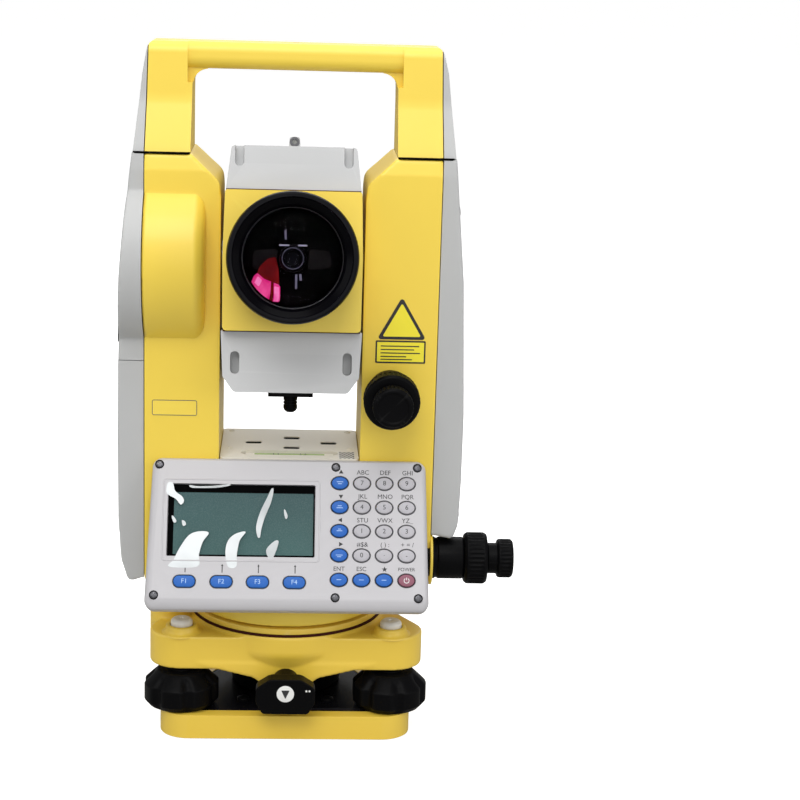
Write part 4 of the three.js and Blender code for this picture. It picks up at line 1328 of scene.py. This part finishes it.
def clamp_and_tangent_knobs():
    h_at = (92, *H_KNOBS)
    v_at = (V_KNOBS[0], FRONT - 13.5, V_KNOBS[1])
    knob("hz_clamp_ring", "hz_clamp", "hz_clamp_knob",
         [(4.6, 0), (12.2, 0), (13.5, 1.6), (13.5, 10.4), (12.4, 12), (6.5, 12), (6.2, 11.2),
          (4.6, 11.2), (4.6, 0)], 0.5,
         "X", h_at, ribs=36, depth=0.55, low=1.6, high=10.4, min_radius=12.5)
    knob("hz_tangent_grip", "hz_tangent", "hz_tangent_knob",
         [(0, -15), (3.5, -15), (3.5, 12.6), (8, 12.6), (8, 17.5), (9.4, 17.5), (10.2, 18.5),
          (10.2, 24.6), (9, 25.8), (6.4, 25.8), (6.0, 25.3), (0, 25.3)], 0.45,
         "X", h_at, ribs=30, depth=0.5, low=18.4, high=24.7, min_radius=9.6)
    knob("v_clamp_ring", "v_clamp", "v_clamp_knob",
         [(4.6, 0), (12.8, 0), (14.2, 1.6), (14.2, 10), (13, 11.4), (6.5, 11.4), (6.2, 10.6),
          (4.6, 10.6), (4.6, 0)], 0.5,
         "-Y", v_at, ribs=36, depth=0.55, low=1.4, high=10, min_radius=13.2)
    knob("v_tangent_grip", "v_tangent", "v_tangent_knob",
         [(0, -14), (3.5, -14), (3.5, 12), (8, 12), (8, 14.5), (9.4, 14.5), (10.2, 15.5),
          (10.2, 21.6), (9, 22.8), (7.8, 22.8), (7.3, 22.2), (0, 22.2)], 0.45,
         "-Y", v_at, ribs=30, depth=0.5, low=15.4, high=21.7, min_radius=9.6)


# ================================================================== rear cover
def rear_cover():
    plug_x, plug_z = 34, 92         # middle of the connector
    lid = prism(rect(-58, 58, 80, 132, 5, 8), 40.3, 47, "Y")
    cut(lid, lathe(disc(8, 0, 20), 48, "-Y", (plug_x, 60, plug_z)))
    cut(lid, prism(rect(-50, 14, 88, 124, 3), 46.4, 49, "Y"))
    for k in range(6):
        cut(lid, block(22, 46, 46.3, 49, 108 + 2.6 * k, 109.2 + 2.6 * k))
    finish(lid, "rear_lid", "grey", replaces="rear_cover", slot="light", bevel=1.5, segments=4)
    shell = [(5.6, 0), (7.9, 0), (7.9, 8.2), (6.8, 9.0), (5.6, 9.0), (5.6, 0)]
    finish(lathe(shell, 48, "-Y", (plug_x, 48.6, plug_z), soft=0.3), "connector_shell", "steel")
    finish(lathe(disc(5.7, 0, 5), 40, "-Y", (plug_x, 46.6, plug_z)), "connector_insert",
           "black", bevel=0.3)
    pins = []
    for k in range(6):
        a = math.pi / 3 * k
        at = (plug_x + 3.2 * math.cos(a), 46.4, plug_z + 3.2 * math.sin(a))
        pin = lathe([(0, 0), (0.5, 0), (0.5, 2.0), (0.25, 2.4), (0, 2.4)], 16)
        pins.append(place(pin, pose(at, -90, "X")))
    finish(merge(*pins), "connector_pins", "brass")
    for k, (x, z) in enumerate(((-53.5, 84.5), (53.5, 84.5), (-53.5, 127.5), (53.5, 127.5))):
        finish(screw(2.2, 0.7), f"rear_screw_{k}", "blued", matrix=pose((x, 46.8, z), -90, "X"))


# ================================================================== telescope
def scope_casting():
    outline = rounded([(-34.3, -36, 2), (34.3, -36, 2), (34.7, 0), (33.8, 33.5, 1.2),
                       (-33.8, 33.5, 1.2), (-34.7, 0)], 6)
    body = prism(outline, -40, 40, "Y")
    cut(body, lathe(disc(23, -60, 60), 96, "-Y"))
    add(body, lathe(disc(9, 0, 24), 48, "X", (34, 0, 0)))
    cut(body, lathe(disc(9.3, 0, 20), 48, "X", (-40, 0, 0)))
    on_scope(body, "scope_casting", "yellow", replaces="telescope_body", slot="alu", bevel=1.0,
             segments=4, bevel_angle=35)


def upper_cap():
    outline = rounded([(-33.6, 33.8), (33.6, 33.8), (31, 55.5, 2.2), (-31, 55.5, 2.2)], 8)
    cap = prism(outline, -37, 37, "Y")

    def notch(x, bottom, half_bottom, half_top, radius):
        return rounded([(x - half_bottom, bottom, radius), (x + half_bottom, bottom, radius),
                        (x + half_top, 70), (x - half_top, 70)], 8)

    # Flared notches at the four upper corners, front and back.
    for x in (-27.0, 27.0):
        for sign in (-1, 1):
            flare = stack((notch(x, 45.6, 1.9, 2.1, 1.8), -2), (notch(x, 44.4, 2.8, 2.8, 2.7), 12))
            place(flare, pose((0, sign * -33.0, 0), 90, "X") @ Matrix.Diagonal((1, 1, sign, 1)))
            if sign < 0:
                flare.data.flip_normals()
            cut(cap, flare)
    on_scope(cap, "scope_upper_cap", "light", replaces="telescope_upper_cap", slot="light",
             bevel=0.8, segments=4)


def open_sight():
    """Small block on the ridge with a lensed tube through it."""
    at = (0, 0, 58.6)
    outline = rounded([(-3, 55.2), (3, 55.2), (2.6, 61.2, 1.2), (-2.6, 61.2, 1.2)], 6)
    sight = prism(outline, -22, 22, "Y")
    cut(sight, lathe(disc(1.5, -30, 30), 24, "-Y", at))
    on_scope(sight, "sight_block", "light", bevel=0.5)
    on_scope(lathe(ring(1.3, 2.5, 21.9, 22.6), 32, "-Y", (0, 0, 58.7), soft=0.1),
             "sight_ring", "grey_ink")
    lens = [(0, 20.2), (1.45, 20.2), (1.45, 21.9), (0, 22.2)]
    rear_lens = [(radius, -height) for radius, height in lens[::-1]]
    on_scope(lathe(lens, 24, "-Y", at), "sight_lens", "clear")
    on_scope(lathe(rear_lens, 24, "-Y", at), "sight_lens_rear", "clear")


def lower_cap():
    def pockets(half_x, half_z, radius, inner, outer):
        return [prism(centred(x, -52, half_x, half_z, radius, 10), sign * inner, sign * outer, "Y")
                for x in (-28, 28) for sign in (-1, 1)]

    outline = rounded(mirrored([(35.2, -36.3, 0), (34, -59, 3), (28.5, -66.8, 3)]), 8)
    cap = cut(prism(outline, -34, 34, "Y"), *pockets(2.3, 5.6, 2.2, 27.5, 40))
    on_scope(cap, "scope_lower_cap", "light", replaces="telescope_lower_cap", slot="light",
             bevel=0.8, segments=4)
    # Plugs at the floors of the pockets, in a darker grey that paints shade into the recesses.
    on_scope(merge(*pockets(2.25, 5.5, 2.15, 27.2, 28.0)), "lower_cap_plugs_painted_shade", "grey")
    # Seams between the caps and the casting.
    on_scope(prism(rect(-33.4, 33.4, 33.3, 34.0), -38.4, 38.4, "Y"), "cap_gasket_top", "seal")
    on_scope(prism(rect(-34.0, 34.0, -36.5, -35.8), -38.4, 38.4, "Y"), "cap_gasket_bottom",
             "seal")


def objective():
    """Stepped hood with an inner thread, retaining ring, glass and inner cell."""
    hood = [(24.6, 40.4), (31.0, 40.4), (31.6, 41), (31.6, 44.6), (31.2, 45.0), (31.2, 45.8),
            (31.6, 46.2), (31.6, 80.6), (31.0, 82.1), (30.2, 82.6), (29.0, 82.6), (28.5, 81.6)]
    pitch, taper = 0.75, 0.30       # the thread narrows by the taper for each mm inwards
    for k in range(11):
        depth = pitch * k
        hood += [(28.4 - depth * taper, 81.0 - depth), (28.0 - depth * taper, 80.7 - depth)]
    hood += [(25.6, 72.2), (24.9, 71.2), (24.6, 70.5), (24.6, 40.4)]
    on_scope(lathe(hood, 160, "-Y"), "objective_hood", "anodised", replaces="objective_barrel",
             slot="alublack", smooth=28)
    retainer = [(23.9, 69.0), (24.5, 69.0), (24.5, 71.0), (24.2, 71.2), (23.9, 70.6),
                (23.9, 69.0)]
    on_scope(lathe(retainer, 128, "-Y", soft=0.12), "objective_retainer", "blued")
    lens = [(0, 62.6), (8, 62.9), (14, 63.5), (20, 64.4), (24.0, 65.4), (24.0, 66.6),
            (20, 67.5), (14, 69.0), (8, 69.8), (4, 70.1), (0, 70.2)]
    on_scope(lathe(lens, 128, "-Y"), "objective_front_lens", "glass",
             replaces="objective_lens", slot="glass", smooth=180)
    on_scope(lathe(ring(22.6, 24.5, 41, 62.0), 96, "-Y"), "objective_cell", "matt", smooth=40)
    on_scope(lathe(disc(24.0, 40.6, 41.6), 96, "-Y"), "objective_cell_floor", "matt")
    hub = [(0, 41), (6.6, 41), (6.6, 52.5), (5.9, 54.6), (3.9, 54.6), (3.4, 53.2), (0, 53.2)]
    on_scope(lathe(hub, 72, "-Y", soft=0.3), "inner_hub", "black")
    on_scope(lathe(ring(4.9, 5.35, 54.5, 55.1), 72, "-Y", soft=0.1), "inner_hub_ring", "blued")


def objective_faces():
    """Flat faces inside the cell: painted highlights on the hub's bar, slits, and coated faces with
    a painted glow.
    """
    # name, material, front y, rear y, x and z outlines
    for name, material, front, rear, outlines in (
            # White dashes: painted highlights where light catches the bar that holds the hub.
            ("inner_hub_bar_highlights", "white", -54.9, -54.3,
             [rect(-6.6, -1.8, 5.9, 6.6), rect(2.4, 6.8, 5.9, 6.6)]),
            ("inner_slits", "blued", -52, -51,
             [rect(1.3, 2.3, -14.5, -7.6),
              [(3.4, -10.5), (4.6, -10.5), (4.2, -7.4), (3.2, -7.4)],
              [(-3.9, 9), (-3.0, 9), (-3.3, 14.0), (-4.2, 13)]]),
            ("prism_red_face", "red", -50.5, -49.8,
             [rounded([(-17.6, -8.6, 1), (-15.6, -4.0, 2), (-11.9, -0.2, 2), (-8.2, 0.6, 1),
                       (-6.8, -5.0, 1), (-6.2, -13.2, 1), (-12.0, -13.0, 1)], 5)]),
            ("prism_pink_face", "pink", -51.6, -50.9,
             [rounded([(-16.2, -16.6, 2), (-11.4, -19.4, 2), (-5.8, -20.4, 0.6),
                       (-5.8, -13.6, 0.4), (-6.6, -12.6, 0.6), (-13.6, -10.0, 0.5),
                       (-16.8, -7.2, 0.6), (-18.4, -8.6, 0.8), (-19.0, -12.6, 0.6)], 5)]),
            ("prism_divider", "red", -51.9, -51.5,
             [[(-10.6, -19.6), (-8.9, -19.8), (-8.9, -11.8), (-10.2, -11.2)]]),
            ("prism_rose_edge", "rose", -51.9, -51.6,
             [rounded([(-8.6, -19.9, 0.3), (-6.4, -20.2, 0.3), (-6.3, -14.0, 0.3),
                       (-8.6, -13.4, 0.3)], 3)]),
            ("prism_rose_corner", "rose", -51.9, -51.6,
             [rounded([(-15.8, -13.6, 0.4), (-14.6, -10.6, 0.5), (-16.6, -8.6, 0.5),
                       (-17.8, -11.6, 0.4)], 3)])):
        on_scope(merge(*[prism(outline, front, rear, "Y") for outline in outlines]), name,
                 material)
    # Painted haze of light inside the cell, three shrinking layers on each side: x, z, their change
    # per layer, corner radius.
    for side, corners in (
            ("right", ((7.0, -5.4, 0, 1.0, 2), (18.8, -4.2, -2.6, 1.0, 2),
                       (17.8, 3.8, -2.4, -0.9, 2), (8.0, 4.8, 0, -0.9, 2))),
            ("left", ((-19.4, -6.4, 1.2, 0.8, 2), (-8.0, -3.0, 0, 0.5, 1.5),
                      (-7.2, 4.6, 0, -0.9, 1.5), (-18.8, 3.6, 1.6, -0.9, 2)))):
        layers = []
        for k in range(3):
            outline = rounded([(x + step_x * k, z + step_z * k, radius)
                               for x, z, step_x, step_z, radius in corners])
            layers.append(prism(outline, -49.6 - 0.12 * k, -49.5 - 0.12 * k, "Y"))
        on_scope(merge(*layers), f"prism_mount_painted_haze_{side}", "haze")


def eyepiece_end():
    knob("focus_ring_grip", "focus_ring", "focus_ring",
         [(12, -68), (18.4, -68), (19.8, -66.4), (19.8, -46.2), (18.6, -44.4), (17.5, -43.6),
          (17.5, -40.4), (12, -40.4), (12, -68)], 0.5,
         "-Y", (0, 0, 0), ribs=40, depth=0.6, low=-66.2, high=-46.4, min_radius=18.7, steps=8,
         matrix=SCOPE)
    knob("eyepiece_cup", "eyepiece", "eyepiece",
         [(4.5, -90), (6.0, -90), (7.0, -88.8), (9.6, -88.8), (10.5, -90), (12.4, -88),
          (12.4, -80), (11.4, -79), (11.4, -44), (4.5, -44), (4.5, -90)], 0.4,
         "-Y", (0, 0, 0), ribs=32, depth=0.4, low=-88.2, high=-80.0, min_radius=11.7, steps=4,
         matrix=SCOPE)
    lens = [(0, -86.0), (2.5, -85.7), (4.4, -85.0), (4.4, -83.0), (0, -83.0)]
    on_scope(lathe(lens, 48, "-Y"), "eye_lens", "glass", "eyepiece")
    on_scope(lathe(disc(4.4, -47, -46), 48, "-Y"), "eye_tube_floor", "matt", "eyepiece")


def axle_and_lower_plate():
    axle = [(0, -71), (38, -71), (38, -69), (9, -69), (9, -24), (0, -24)]
    on_scope(lathe(axle, 128, "X", soft=0.25), "axle_and_circle", "steel",
             replaces="trunnion_axle", slot="steel")
    plate = prism(centred(0, 0, 11.5, 10, 1.5), -70.2, -68.2)
    add(plate, prism(centred(0, 0, 5, 8, 1, 4), -68.6, -67.1))
    peg = [(0, -78.6), (1.6, -78.6), (3.0, -77.6), (3.6, -76.4), (3.6, -70), (0, -70)]
    add(plate, lathe(peg, 48, soft=0.3))
    for z in (-72.6, -74.2):
        cut(plate, lathe(ring(3.2, 4.5, z - 0.3, z + 0.3), 48))
    on_scope(plate, "lower_plate_and_peg", "black", replaces="lower_sight", slot="dark",
             bevel=0.3)


# ================================================================== stage, light, camera (metres)
def studio_floor():
    """Pale to the eye, while giving less light back to the object."""
    material, tree, bsdf = new_material("studio_floor")
    seen = node(tree, "LightPath").outputs["Is Camera Ray"]
    color = mix(tree, seen, (0.42, 0.42, 0.41, 1), (0.90, 0.90, 0.895, 1))
    fill(bsdf, {"Roughness": 0.75, "Specular IOR Level": 0.2, "Base Color": color,
                "Emission Strength": multiply(tree, seen, 0.62),
                "Emission Color": (1, 1, 1, 1)})
    bm = bmesh.new()
    bmesh.ops.create_grid(bm, x_segments=2, y_segments=2, size=40.0)
    mesh = bpy.data.meshes.new("studio_floor")
    bm.to_mesh(mesh)
    bm.free()
    floor = bpy.data.objects.new("studio_floor", mesh)
    floor.location = (0, 0, -0.0004)
    mesh.materials.append(material)
    scene.collection.objects.link(floor)


def softbox(name, location, aim_z, width, height, power, tint=(1, 1, 1)):
    """Rectangular light aimed at a height on the world's z axis."""
    data = bpy.data.lights.new(name, "AREA")
    data.shape = "RECTANGLE"
    data.size, data.size_y = width, height
    data.energy = power
    data.color = tint
    light = bpy.data.objects.new(name, data)
    light.location = location
    direction = Vector((0, 0, aim_z)) - Vector(location)
    light.rotation_euler = direction.to_track_quat("-Z", "Y").to_euler()
    scene.collection.objects.link(light)


def lights():
    # name, location, aim height, width, height, watts, tint
    for setup in (
            ("key_box", (-0.25, -1.05, 1.35), 0.26, 1.1, 0.8, 13.0, (1.0, 0.995, 0.98)),
            ("top_box", (0.1, 0.0, 1.5), 0.2, 1.2, 1.0, 8.0),
            ("right_box", (1.25, -0.95, 0.65), 0.2, 0.8, 1.0, 5.6, (0.99, 0.99, 1.0)),
            ("front_fill", (0.25, -1.75, 0.55), 0.12, 1.2, 0.9, 3.2),
            ("left_box", (-1.4, -0.55, 0.8), 0.2, 0.8, 1.0, 3.6),
            ("back_box", (0.1, 1.6, 1.2), 0.2, 1.4, 0.9, 7.0)):
        softbox(*setup)


def world():
    """Dim white light, seen by the camera as full white."""
    studio = bpy.data.worlds.new("studio_world")
    scene.world = studio
    studio.use_nodes = True
    tree = studio.node_tree
    dim = tree.nodes["Background"]
    fill(dim, {"Color": (1, 1, 1, 1), "Strength": 0.42})
    seen = node(tree, "LightPath").outputs["Is Camera Ray"]
    white = node(tree, "Background", {"Color": (1, 1, 1, 1), "Strength": 1.0})
    shader = node(tree, "MixShader", {0: seen, 1: dim.outputs[0], 2: white.outputs[0]})
    fill(tree.nodes["World Output"], {"Surface": shader.outputs[0]})
    scene.view_settings.view_transform = "Standard"


def camera():
    """Looks slightly down and to the right from in front, rolled a little."""
    pitch, yaw, roll = (math.radians(a) for a in (13.4167, 3.312, 1.7477))
    distance, height = 0.99246, 0.40389
    forward = Vector((math.sin(yaw) * math.cos(pitch), math.cos(yaw) * math.cos(pitch),
                      -math.sin(pitch)))
    level = Vector((math.cos(yaw), -math.sin(yaw), 0))
    upright = level.cross(forward)
    right = level * math.cos(roll) + upright * math.sin(roll)
    up = upright * math.cos(roll) - level * math.sin(roll)
    data = bpy.data.cameras.new("camera")
    data.sensor_width = 36.0
    data.lens = 87.64
    data.clip_start = 0.02
    data.clip_end = 200
    viewer = bpy.data.objects.new("camera", data)
    position = (AXIS_X, AXIS_Y - distance, height)
    rows = [(right[i], up[i], -forward[i], position[i]) for i in range(3)]
    viewer.matrix_world = Matrix((*rows, (0, 0, 0, 1)))
    scene.collection.objects.link(viewer)
    scene.camera = viewer


# ================================================================== build
for build in (
        base_plate, foot_screws, tribrach_body, circular_level, lock_knob, flange_and_spindle,
        standards, sleeves_and_gaskets, left_cover, battery, right_cover, cover_screws, handle,
        deck, keypad_case, display, film_glints, panel_screws, function_keys, keys, legends,
        signs, clamp_and_tangent_knobs, rear_cover, scope_casting, upper_cap, open_sight,
        lower_cap, objective, objective_faces, eyepiece_end, axle_and_lower_plate,
        studio_floor, lights, world, camera):
    build()

bpy.context.view_layer.update()
